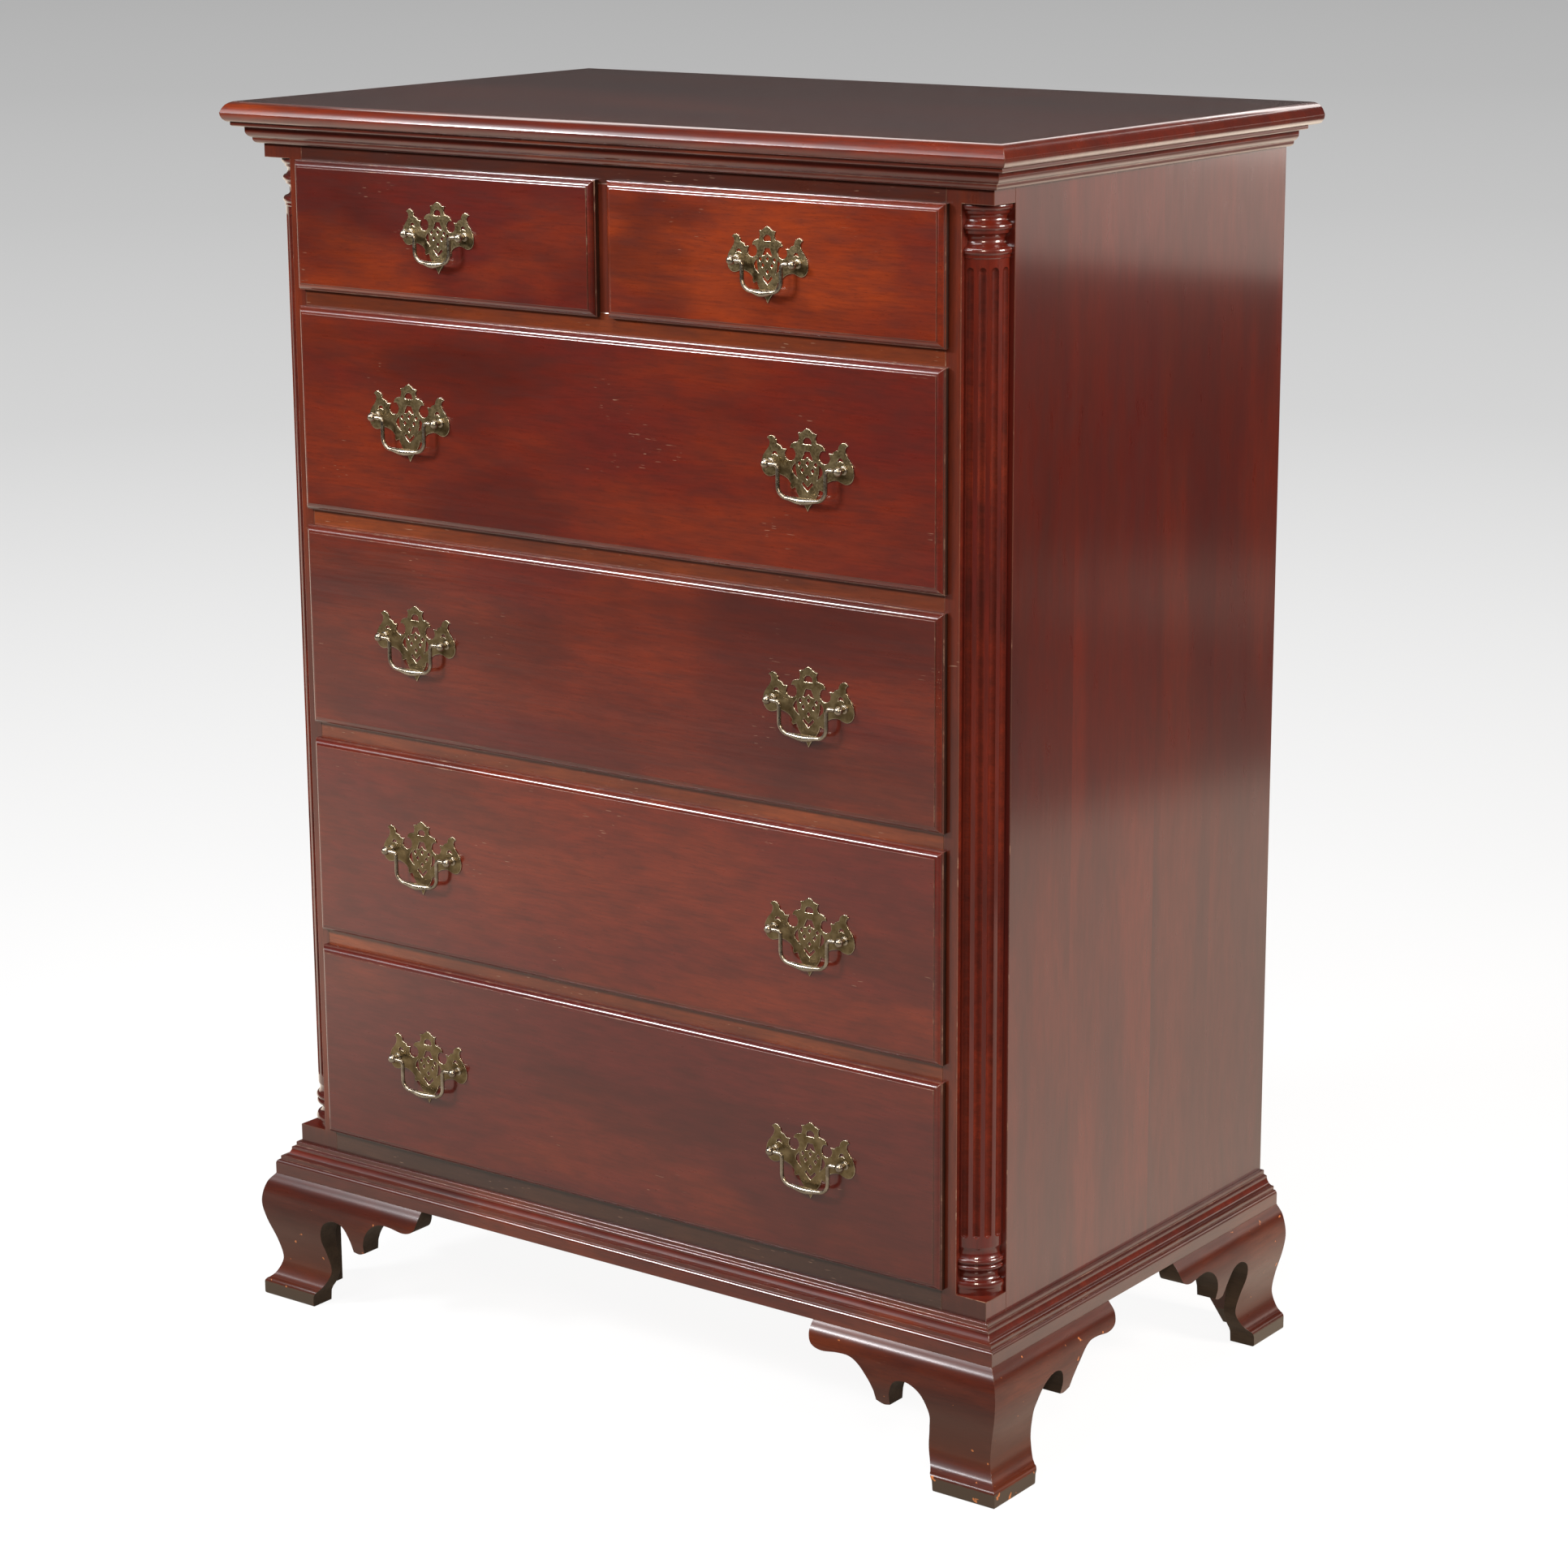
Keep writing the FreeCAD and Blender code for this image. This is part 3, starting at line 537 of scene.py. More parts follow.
def add_node(tree: Tree, kind: str, inputs: dict[str | int, Any] | None = None,
             stops: Sequence[tuple[float, str]] = (), **settings: Any) -> Node:
    """Add a node with its settings and links.

    Args:
        tree: The material's nodes.
        kind: The node's type, without ShaderNode before it.
        inputs: For an input's name or number, a value, or the output that feeds it.
        stops: For a colour ramp, each stop's place and hex colour.
        **settings: The node's own properties.

    Returns:
        The node.
    """
    node = tree.nodes.new("ShaderNode" + kind)
    for name, value in settings.items():
        setattr(node, name, value)
    for key, value in (inputs or {}).items():
        if isinstance(value, Socket):
            tree.links.new(value, node.inputs[key])
        else:
            node.inputs[key].default_value = value
    for index, (spot, code) in enumerate(stops):
        steps = node.color_ramp.elements
        stop = steps[index] if index < len(steps) else steps.new(spot)
        stop.position = spot
        stop.color = linear(code)
    return node


def blank(name: str) -> tuple[Material, Tree, Node]:
    """Start a material.

    Args:
        name: Its name.

    Returns:
        The material, its node tree and its surface shader.
    """
    made = bpy.data.materials.new(name)
    made.use_nodes = True
    return made, made.node_tree, made.node_tree.nodes["Principled BSDF"]


def laid_over(tree: Tree, ground: str, layers: Sequence[Layer]) -> Socket:
    """Lay colours over a ground, one after another.

    Args:
        tree: The material's nodes.
        ground: The ground's hex colour.
        layers: Each layer's share and hex colour, the lowest first.

    Returns:
        The colour on top.
    """
    colour: Any = linear(ground)
    for share, code in layers:
        mix = add_node(tree, "Mix", {0: share, 6: colour, 7: linear(code)}, data_type="RGBA")
        colour = mix.outputs[2]
    return colour


class Grain(Enum):
    """Which way the wood's fibres run, with the turn that brings them onto X."""

    ALONG_X = (0.0, 0.0, 0.0)
    ALONG_Y = (0.0, 0.0, -math.pi / 2)
    ALONG_Z = (0.0, math.pi / 2, 0.0)


class Tone(Enum):
    """Which way the colour leans in a cloud."""

    WARM = "warm"
    COOL = "cool"
    DARK = "dark"


@dataclass(frozen=True)
class Cloud:
    """A soft patch of a board that took the stain differently, in millimetres; dark ones on the posts' heads are
    painted shade.
    """

    tone: Tone
    x: float
    z: float
    half_wide: float
    half_tall: float
    share: float = 0.7


def stretch(size: Pair) -> tuple[float, float, float]:
    """The scale at which one patch of noise is this long and this wide, in millimetres."""
    return 1 / (size[0] * MM), 1 / (size[1] * MM), 1 / (size[1] * MM)


@dataclass(frozen=True)
class Finish(ABC):
    """A real material with its surface, built once for each name."""

    name: str

    def material(self, wear: float = 0.0) -> Material:
        """Find the finish's material, or build it.

        Args:
            wear: The share that is rubbed through to what lies below, for a rounded edge.

        Returns:
            The material.
        """
        name = self.name + ("_rubbed_edge" if wear else "")
        if name not in bpy.data.materials:
            _, tree, shader = blank(name)
            self.cover(tree, shader, add_node(tree, "TexCoord").outputs["Object"], wear)
        return bpy.data.materials[name]

    @abstractmethod
    def cover(self, tree: Tree, shader: Node, place: Socket, wear: float) -> None:
        """Feed the surface shader.

        Args:
            tree: The material's nodes.
            shader: The surface shader.
            place: Where the shaded point is.
            wear: The share that is rubbed through.
        """


@dataclass(frozen=True)
class StainedMahogany(Finish):
    """Mahogany, planed, stained dark red and sprayed with a glossy lacquer.

    The stain evens the wood out, so that the eye gets a deep red ground that drifts
    between orange and purple, short faint figure along the fibres and dark pores.
    The lacquer mirrors the room softly, and is nicked through to pale wood here and there.
    """

    grain: Grain = Grain.ALONG_X
    body: str = "#56190e"
    dark: str = "#300d08"
    warm: str = "#6b240e"
    cool: str = "#531712"
    bare: str = "#94745f"
    seed: float = 0.0
    drift_mm: Pair = (330.0, 120.0)
    clouds: tuple[Cloud, ...] = ()
    mottle_mm: Pair = (46.0, 11.0)
    line_mm: Pair = (34.0, 2.4)     # real lines are about 0.6 mm wide; drawn coarser so that they show
    pore_mm: Pair = (7.0, 0.9)      # real pores are about 0.2 mm wide; drawn coarser for the same reason
    figure: float = 0.36
    joints_mm: tuple[float, ...] = ()   # where glued boards meet, along the axis with this number
    joint_axis: int = 1
    board_shade: float = 0.45
    wander: tuple[float, float, float] = (0.16, 0.0, 0.07)     # how far the clouds' edges stray, in metres
    roughness: float = 0.30         # of the wood below the film
    specular: float = 0.3
    coat: float = 1.0
    coat_roughness: float = 0.10
    ripple: float = 0.05
    nicks: float = 0.6              # how pale a nick is
    nick_cover: float = 0.64        # the higher, the fewer there are

    def boards(self, tree: Tree, place: Socket) -> Socket | None:
        """Number the glued boards from the first joint on.

        Args:
            tree: The material's nodes.
            place: Where the shaded point is.

        Returns:
            The board's number, or None for a single board.
        """
        if not self.joints_mm:
            return None
        across = add_node(tree, "SeparateXYZ", {0: place}).outputs[self.joint_axis]
        number: Socket | None = None
        for joint in self.joints_mm:
            past = add_node(tree, "Math", {0: across, 1: joint * MM}, operation="GREATER_THAN")
            total = add_node(tree, "Math", {0: past.outputs[0], 1: number or 0.0}, operation="ADD")
            number = total.outputs[0]
        return number

    def clouded(self, tree: Tree, place: Socket) -> list[Layer]:
        """Work out where the named clouds lie, with edges broken up along the grain.

        Args:
            tree: The material's nodes.
            place: Where the shaded point is.

        Returns:
            Each cloud's share and colour.
        """
        if not self.clouds:
            return []
        spread = add_node(tree, "Mapping", {"Vector": place, "Scale": stretch((110.0, 40.0))})
        wander = add_node(tree, "TexNoise", {"Vector": spread.outputs[0], "Scale": 1.0, "Detail": 3.0})
        spot = add_node(tree, "VectorMath", {
            0: wander.outputs["Color"], 1: self.wander, 2: place}, operation="MULTIPLY_ADD").outputs[0]
        layers: list[Layer] = []
        for cloud in self.clouds:
            scale = (1 / (cloud.half_wide * MM), 0.0, 1 / (cloud.half_tall * MM))
            # The wandering moves places by half of its reach on average, which the middle makes up for.
            middle = (-(cloud.x * MM + self.wander[0] / 2) * scale[0], 0.0,
                      -(cloud.z * MM + self.wander[2] / 2) * scale[2])
            away = add_node(tree, "Mapping", {"Vector": spot, "Scale": scale, "Location": middle})
            length = add_node(tree, "VectorMath", {0: away.outputs[0]}, operation="LENGTH")
            share = add_node(tree, "MapRange", {
                0: length.outputs["Value"], 1: 1.25, 2: 0.2, 3: 0.0, 4: cloud.share}, interpolation_type="SMOOTHSTEP")
            layers.append((share.outputs[0], getattr(self, cloud.tone.value)))
        return layers

    def scarred(self, tree: Tree, place: Socket, wear: float) -> list[Layer]:
        """Work out hairline nicks, 5 to 15 mm long in two slanting directions, and rubbed edges.

        Args:
            tree: The material's nodes.
            place: Where the shaded point is.
            wear: The share that is rubbed through.

        Returns:
            Each mark's share and colour.
        """
        layers: list[Layer] = []
        spread = add_node(tree, "TexNoise", {"Vector": place, "Scale": 13.0, "Detail": 1.0})
        where = add_node(tree, "MapRange", {
            0: spread.outputs["Fac"], 1: self.nick_cover, 2: self.nick_cover + 0.08, 3: 0.0, 4: self.nicks})
        for turn, cut in (((0.7, 0.9, 0.5), 0.80), ((0.2, -0.7, -0.4), 0.83)):
            slant = add_node(tree, "Mapping", {
                "Vector": place, "Rotation": turn, "Scale": stretch((12.0, 1.1))})
            mark = add_node(tree, "TexNoise", {
                "Vector": slant.outputs[0], "Scale": 1.0, "Detail": 0.0, "Roughness": 0.55})
            seen = add_node(tree, "MapRange", {0: mark.outputs["Fac"], 1: cut, 2: cut + 0.03})
            share = add_node(tree, "Math", {0: seen.outputs[0], 1: where.outputs[0]}, operation="MULTIPLY")
            layers.append((share.outputs[0], self.bare))
        if wear:
            rub = add_node(tree, "TexNoise", {
                "Vector": place, "Scale": 38.0, "Detail": 4.0, "Roughness": 0.7})
            through = add_node(tree, "MapRange", {
                0: rub.outputs["Fac"], 1: 0.66 - 0.3 * wear, 2: 0.8 - 0.3 * wear, 3: 0.15, 4: 0.95})
            layers.append((through.outputs[0], self.bare))
        return layers

    def cover(self, tree: Tree, shader: Node, place: Socket, wear: float) -> None:
        """Feed the surface shader.

        Args:
            tree: The material's nodes.
            shader: The surface shader.
            place: Where the shaded point is.
            wear: The share that is rubbed through to paler wood.
        """
        turned = add_node(tree, "Mapping", {"Vector": place, "Rotation": self.grain.value})
        moved = add_node(tree, "Mapping", {
            "Vector": turned.outputs[0], "Location": (self.seed * 1.7, self.seed * 0.83, self.seed * 0.41)})
        along = moved.outputs[0]
        number = self.boards(tree, place)
        if number is not None:
            along = add_node(tree, "VectorMath", {0: (1.31, 0.47, 0.29), 1: number, 2: along},
                             operation="MULTIPLY_ADD").outputs[0]
        pattern: dict[str, Node] = {}
        for key, size, detail in (("sway", (260.0, 60.0), 1.0), ("drift", self.drift_mm, 2.5),
                                  ("mottle", self.mottle_mm, 3.0), ("line", self.line_mm, 2.0),
                                  ("pore", self.pore_mm, 1.0), ("ripple", (420.0, 25.0), 3.0)):
            spread = add_node(tree, "Mapping", {"Vector": along, "Scale": stretch(size)})
            pattern[key] = add_node(tree, "TexNoise", {
                "Vector": spread.outputs[0], "Scale": 1.0, "Detail": detail, "Roughness": 0.55})
            if key == "sway":
                # The fibres swing a few millimetres to either side.
                along = add_node(tree, "VectorMath", {
                    0: pattern[key].outputs["Color"], 1: (0.0, 0.014, 0.014), 2: along},
                    operation="MULTIPLY_ADD").outputs[0]

        # The stain leans warm, cool and dark: where in the noise each leaning sets in, and how far it goes.
        leaning = add_node(tree, "SeparateColor", {0: pattern["drift"].outputs["Color"]})
        warm, cool, dark = (add_node(tree, "MapRange", {
            0: leaning.outputs[index], 1: low, 2: low + 0.16, 3: 0.0, 4: most}, interpolation_type="SMOOTHSTEP")
            for index, (low, most) in enumerate(((0.47, 0.75), (0.48, 0.7), (0.54, 0.4))))
        layers: list[Layer] = [(warm.outputs[0], self.warm), (cool.outputs[0], self.cool),
                               *self.clouded(tree, place), (dark.outputs[0], self.dark)]
        # Figure, fibres and pores darken it, each from one level of its noise to another.
        for key, low, high, most in (("mottle", 0.38, 0.68, self.figure), ("line", 0.42, 0.72, 0.8 * self.figure),
                                     ("pore", 0.6, 0.74, 0.9 * self.figure)):
            share = add_node(tree, "MapRange", {
                0: pattern[key].outputs["Fac"], 1: low, 2: high, 3: 0.0, 4: most})
            layers.append((share.outputs[0], self.dark))
        if number is not None:
            tone = add_node(tree, "TexWhiteNoise", {"W": number}, noise_dimensions="1D")
            shade = add_node(tree, "MapRange", {0: tone.outputs["Value"], 3: 0.0, 4: self.board_shade})
            layers.append((shade.outputs[0], self.dark))
        layers += self.scarred(tree, place, wear)
        tree.links.new(laid_over(tree, self.body, layers), shader.inputs["Base Color"])

        gloss = add_node(tree, "MapRange", {
            0: pattern["mottle"].outputs["Fac"], 1: 0.3, 2: 0.7, 3: self.roughness - 0.03, 4: self.roughness + 0.05})
        tree.links.new(gloss.outputs[0], shader.inputs["Roughness"])
        shader.inputs["Specular IOR Level"].default_value = self.specular
        shader.inputs["Coat Weight"].default_value = self.coat
        shader.inputs["Coat Roughness"].default_value = self.coat_roughness
        # The film follows the fibres a little, in ripples about 25 mm wide.
        waves = add_node(tree, "Bump", {
            "Strength": self.ripple, "Distance": 0.004, "Height": pattern["ripple"].outputs["Fac"]})
        fibres = add_node(tree, "Bump", {
            "Strength": 0.12, "Distance": 0.0002, "Height": pattern["line"].outputs["Fac"],
            "Normal": waves.outputs[0]})
        tree.links.new(fibres.outputs[0], shader.inputs["Normal"])
        tree.links.new(waves.outputs[0], shader.inputs["Coat Normal"])


@dataclass(frozen=True)
class InsideWood(Finish):
    """Poplar, planed and left bare.

    The eye gets a pale, dry and matt wood with faint streaks along the fibres.
    """

    grain: Grain = Grain.ALONG_Y
    pale: str = "#8a6b46"
    streak: str = "#6a4a29"
    seed: float = 0.0

    def cover(self, tree: Tree, shader: Node, place: Socket, wear: float) -> None:
        """Feed the surface shader.

        Args:
            tree: The material's nodes.
            shader: The surface shader.
            place: Where the shaded point is.
            wear: Not used, as a rubbed edge looks like the rest.
        """
        turned = add_node(tree, "Mapping", {"Vector": place, "Rotation": self.grain.value,
                                                      "Location": (self.seed, self.seed * 0.6, self.seed * 0.3)})
        # Growth streaks about 9 mm apart and 300 mm long, and fibres 1.5 mm wide.
        broad, fine = (add_node(tree, "TexNoise", {
            "Vector": add_node(tree, "Mapping", {
                "Vector": turned.outputs[0], "Scale": stretch(size)}).outputs[0],
            "Scale": 1.0, "Detail": 3.0}).outputs["Fac"] for size in ((300.0, 9.0), (40.0, 1.5)))
        share = add_node(tree, "MapRange", {0: broad, 1: 0.3, 2: 0.7, 3: 0.05, 4: 0.7})
        fibre = add_node(tree, "MapRange", {0: fine, 1: 0.5, 2: 0.75, 3: 0.0, 4: 0.35})
        layers = [(share.outputs[0], self.streak), (fibre.outputs[0], self.streak)]
        tree.links.new(laid_over(tree, self.pale, layers), shader.inputs["Base Color"])
        shader.inputs["Roughness"].default_value = 0.62
        shader.inputs["Specular IOR Level"].default_value = 0.3
        bump = add_node(tree, "Bump", {"Strength": 0.2, "Distance": 0.0002, "Height": fine})
        tree.links.new(bump.outputs[0], shader.inputs["Normal"])


@dataclass(frozen=True)
class AgedBrass(Finish):
    """Sheet or cast brass, polished once and browned with age.

    The eye gets a metal between straw and brown, with a green tinge in specks, and
    brighter where hands rub it.
    """

    bright: str = "#a89468"
    brown: str = "#5d4b2c"
    green: str = "#6f7458"
    rub: float = 0.5
    roughness: float = 0.34

    def cover(self, tree: Tree, shader: Node, place: Socket, wear: float) -> None:
        """Feed the surface shader.

        Args:
            tree: The material's nodes.
            shader: The surface shader.
            place: Where the shaded point is.
            wear: Not used, as a rubbed edge looks like the rest.
        """
        # Tarnish lies in spots of about 12 mm, with specks of about 2 mm in them.
        spots, specks = (add_node(tree, "TexNoise", {
            "Vector": place, "Scale": 1 / (size * MM), "Detail": 3.0, "Roughness": 0.6}).outputs["Fac"]
            for size in (12.0, 2.0))
        share = add_node(tree, "MapRange", {
            0: spots, 1: 0.32, 2: 0.68, 3: max(0.0, self.rub - 0.4), 4: min(1.0, self.rub + 0.4)})
        tinge = add_node(tree, "MapRange", {0: specks, 1: 0.45, 2: 0.7, 3: 0.0, 4: 0.45})
        layers = [(share.outputs[0], self.bright), (tinge.outputs[0], self.green)]
        tree.links.new(laid_over(tree, self.brown, layers), shader.inputs["Base Color"])
        shader.inputs["Metallic"].default_value = 1.0
        gloss = add_node(tree, "MapRange", {
            0: specks, 1: 0.3, 2: 0.7, 3: self.roughness - 0.06, 4: self.roughness + 0.12})
        tree.links.new(gloss.outputs[0], shader.inputs["Roughness"])
        bump = add_node(tree, "Bump", {"Strength": 0.25, "Distance": 0.0002, "Height": specks})
        tree.links.new(bump.outputs[0], shader.inputs["Normal"])


@dataclass(frozen=True)
class FootWood(StainedMahogany):
    """The feet's mahogany, lacquered like the case and scuffed dark at the sole.

    The eye gets a dull brown ankle with the floor's reflection painted into it, an olive-brown band along the floor
    and chips to orange wood.
    """

    band_mm: float = 15.5
    band: str = "#40352a"
    ankle: str = "#4e2d21"
    chip: str = "#b06a3c"

    def scarred(self, tree: Tree, place: Socket, wear: float) -> list[Layer]:
        """Add the worn ankle, the sole band and its chips to the wood's own marks.

        Args:
            tree: The material's nodes.
            place: Where the shaded point is.
            wear: The share that is rubbed through.

        Returns:
            Each mark's share and colour.
        """
        layers = super().scarred(tree, place, wear)
        height = add_node(tree, "SeparateXYZ", {0: place}).outputs["Z"]
        # The hollow of the ankle, from about 30 to 85 mm up, is worn and dull, and painted greyer-brown for the
        # floor's reflection in it.
        above, below = (add_node(tree, "MapRange", {
            0: height, 1: start * MM, 2: end * MM, 4: most}, interpolation_type="SMOOTHSTEP")
            for start, end, most in ((24.0, 42.0, 0.65), (112.0, 76.0, 1.0)))
        worn_and_painted_reflection = add_node(tree, "Math", {0: above.outputs[0], 1: below.outputs[0]}, operation="MULTIPLY")
        ragged = add_node(tree, "TexNoise", {"Vector": place, "Scale": 130.0, "Detail": 3.0})
        line = add_node(tree, "Math", {
            0: ragged.outputs["Fac"], 1: 0.003, 2: height}, operation="MULTIPLY_ADD")
        sole = add_node(tree, "MapRange", {
            0: line.outputs[0], 1: (self.band_mm + 2.2) * MM, 2: (self.band_mm + 0.8) * MM, 3: 0.0, 4: 0.92})
        # Chips of 3 to 8 mm lie on the sole band and just above it.
        chips = add_node(tree, "TexNoise", {"Vector": place, "Scale": 95.0, "Detail": 2.0})
        low = add_node(tree, "MapRange", {0: height, 1: 0.022, 2: 0.012, 3: 0.0, 4: 0.06 + 0.14 * wear})
        chance = add_node(tree, "Math", {0: chips.outputs["Fac"], 1: low.outputs[0]}, operation="ADD")
        gone = add_node(tree, "MapRange", {0: chance.outputs[0], 1: 0.725, 2: 0.75})
        return layers + [(worn_and_painted_reflection.outputs[0], self.ankle), (sole.outputs[0], self.band), (gone.outputs[0], self.chip)]


class Woods:
    """The chest's own finishes. Each name says the real material and how its surface was made, and says painted shade
    or sheen where that is painted into the colour.
    """

    # Planed, stained and lacquered, then worn by hands: brown rather than red, with pale hairline nicks.
    front = StainedMahogany(
        "mahogany_front_rail_lacquered", seed=1.0, body="#6e3016", warm="#863e1b", cool="#5a2818", dark="#38180d",
        nicks=0.9, nick_cover=0.5)
    # The same under the cornice: a browner, darker strip, the cornice's shade painted into its colour.
    top_rail = StainedMahogany(
        "mahogany_top_rail_lacquered", seed=1.2, body="#451c10", warm="#562614", cool="#3c1a13", dark="#260e09",
        nick_cover=0.5)
    # The same over the base moulding: nearly black-brown.
    bottom_rail = StainedMahogany(
        "mahogany_bottom_rail_lacquered", seed=1.5, body="#40251a", warm="#4c2a1a", cool="#38221c", dark="#22120d",
        nick_cover=0.5)
    # Planed posts, stained and lacquered: upright figure, with the cornice's shade painted dark on their heads, and
    # darker at the foot.
    upright = StainedMahogany(
        "mahogany_upright_lacquered", grain=Grain.ALONG_Z, seed=2.0, body="#5c2212", warm="#6c2b14", cool="#4e1e15",
        dark="#30110a",
        # The first two clouds are painted shade under the cornice.
        clouds=(Cloud(Tone.DARK, 450, 1345, 110, 46, 0.85), Cloud(Tone.DARK, -450, 1345, 110, 46, 0.6),
                Cloud(Tone.DARK, 455, 185, 130, 42, 0.8), Cloud(Tone.DARK, -455, 185, 130, 42, 0.8)))
    # Painted shade in the hollows of the mouldings, in the flutes and in the columns' recesses: a matt, dark red line
    # beside the bright mouldings.
    hollow = StainedMahogany(
        "mahogany_hollow_painted_shade", seed=2.5, body="#581a0d", warm="#682210", cool="#46150d", dark="#1c0806",
        roughness=0.5, specular=0.1, coat=0.1, coat_roughness=0.3, nicks=0.0)
    # Painted shade on the lip's ends and underside: a dull, nearly black gap round each drawer front.
    lip_side = StainedMahogany(
        "mahogany_lip_side_painted_shade", seed=2.9, body="#2e160c", warm="#3a1c0f", cool="#26120d", dark="#180a06",
        roughness=0.55, specular=0.15, coat=0.15, coat_roughness=0.4, nicks=0.0)
    # Band-sawn and without lacquer: rough, blackish wood along the feet's scrolls and on their faces that do not look
    # outward.
    sawn_edge = StainedMahogany(
        "mahogany_sawn_edge_blackish", seed=2.7, body="#3a2c20", warm="#443426", cool="#30261d", dark="#1d1610",
        roughness=0.75, coat=0.0, nicks=0.0)
    # Moulded with a plane along the side, stained and lacquered: dark red with a soft, broad highlight.
    side_run = StainedMahogany(
        "mahogany_side_moulding_lacquered", grain=Grain.ALONG_Y, seed=3.0, body="#471a10", warm="#5a2613",
        cool="#3e1a14", dark="#280c08", coat_roughness=0.18)
    # The same along the front, better kept: the highlight is a narrower line.
    front_run = StainedMahogany(
        "mahogany_front_moulding_lacquered", seed=4.0, body="#501d11", warm="#6a2c15", cool="#451b14", dark="#2a0d08",
        coat_roughness=0.14)
    # The same under the top at the side, where the lacquer has gone dull: a greyish veil, partly the sheen it mirrors
    # painted into its colour.
    cornice_side = StainedMahogany(
        "mahogany_cornice_side_dulled", grain=Grain.ALONG_Y, seed=3.3, body="#54291f", warm="#603024", cool="#4c2722",
        dark="#361812", roughness=0.4, coat_roughness=0.34)
    # Planed boards glued edge to edge, stained and lacquered flat: calm upright bands and a wide mirror sheen.
    side = StainedMahogany(
        "mahogany_side_lacquered", grain=Grain.ALONG_Z, seed=5.0, body="#4d130b", warm="#5c1a0d", cool="#42100e",
        dark="#2b0c08", drift_mm=(520.0, 90.0), joints_mm=(-122.0, 40.0, 158.0), board_shade=0.3, figure=0.26,
        specular=0.2, ripple=0.03, nicks=0.2)
    # Glued boards as well, rubbed out level: the top mirrors the room almost without figure.
    top = StainedMahogany(
        "mahogany_top_lacquered", seed=6.0, body="#571a0e", warm="#692410", cool="#471412", dark="#300f0a",
        joints_mm=(-120.0, 40.0, 190.0), ripple=0.035)
    # The top's nose, moulded and then rubbed thin by hands: brighter orange-red along the edge.
    nose = StainedMahogany(
        "mahogany_top_nose_rubbed_thin", seed=6.5, body="#64200c", warm="#7e300e", cool="#4c170d", dark="#3a1009",
        figure=0.5, nicks=0.3)
    # Turned, fluted and lacquered thickly: sharp highlights on the beads.
    column = StainedMahogany(
        "mahogany_column_lacquered", grain=Grain.ALONG_Z, seed=7.0, body="#4a140b", warm="#601c0e",
        coat_roughness=0.06, nicks=0.3)
    # Planed poplar inside, by the way its fibres run; the upright boards of the back have gone browner.
    inside_length = InsideWood("poplar_length_planed")
    inside_width = InsideWood("poplar_width_planed", grain=Grain.ALONG_X, seed=1.3)
    inside_height = InsideWood(
        "poplar_height_planed", grain=Grain.ALONG_Z, seed=2.1, pale="#7d5d3c", streak="#5a3d22")
    # Sheet brass, sawn out and left to tarnish: a flat, greenish straw-brown face.
    plate = AgedBrass(
        "brass_plate_cut_and_tarnished", bright="#968563", brown="#615033", green="#7a6e52", rub=0.42, roughness=0.36)
    # The same sheet's filed edges, which polishing reaches first: paler round each opening, with a painted glint on
    # top.
    plate_edge = AgedBrass(
        "brass_plate_edge_rubbed_painted_glint", bright="#d3c7ae", brown="#a08f72", green="#a39b80", rub=0.7, roughness=0.22)
    # Cast brass, turned or bent, and polished by use: smoother and paler than the plates.
    handle = AgedBrass(
        "brass_handle_cast_and_rubbed", bright="#b8ad9b", brown="#7c7061", green="#837a68", rub=0.55, roughness=0.26)
    # Sawn brass bar, never polished: yellow and dull.
    nut = AgedBrass("brass_nut_sawn", bright="#b9a36a", brown="#7d6a3d", rub=0.5, roughness=0.4)


# ---------------------------------------------------------------- case
@dataclass
class TopBoard:
    """The solid top with its rounded nose on the front and both ends."""

    overhang: float = 33.3
    thickness: float = 22.5
    widest: float = 0.556           # share of the thickness, from the top, where the nose reaches furthest
    # Steps of the nose: how far in, and how far down as a share of the thickness.
    upper: tuple[Pair, ...] = ((1.2, 0.42), (2.45, 0.307), (4.6, 0.18), (7.65, 0.084), (11.2, 0.022), (15.3, 0.0))
    lower: tuple[Pair, ...] = ((0.25, 0.66), (0.9, 0.76), (2.1, 0.85), (4.2, 0.95), (7.3, 1.0))
    flat: float = 0.1               # half of the short flat at the widest line
    spare: float = 60.0             # what is sawn off at the back
    back_short: float = 0.01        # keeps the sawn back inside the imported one

    def build(self) -> Piece:
        """Step the nose in from its widest line, up and down, then saw the back square.

        Returns:
            The board.
        """
        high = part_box("top_panel")[1].z / MM
        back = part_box("top_panel")[1].y - self.back_short * MM
        middle = high - self.widest * self.thickness
        reach = HALF_W / MM + self.overhang
        piece = block("top_board", at(-reach, -self.overhang, middle - self.flat),
                      at(reach, (back - FRONT_Y) / MM + self.spare, middle + self.flat))
        for way, steps in ((1, self.upper), (-1, self.lower)):
            with opened(piece):
                choose(piece, lambda spot, normal: normal.z * way > FACING)
                inward, down = 0.0, self.widest - way * self.flat / self.thickness
                for step_in, step_down in steps:
                    bpy.ops.mesh.inset(thickness=(step_in - inward) * MM,
                                       depth=abs(step_down - down) * self.thickness * MM)
                    inward, down = step_in, step_down
        sawn(piece, Vector((0, back, 0)), Vector((0, 1, 0)))
        dressed(piece, Woods.top.material(), Woods.top.material(0.2), Woods.nose.material())
        for face in piece.data.polygons:
            if face.center.y < FRONT_Y and face.normal.y < -0.2:
                face.material_index = 2
        eased(piece, 0.6, limit=50)
        return finished(piece, "case", "top_wood", "top_panel")


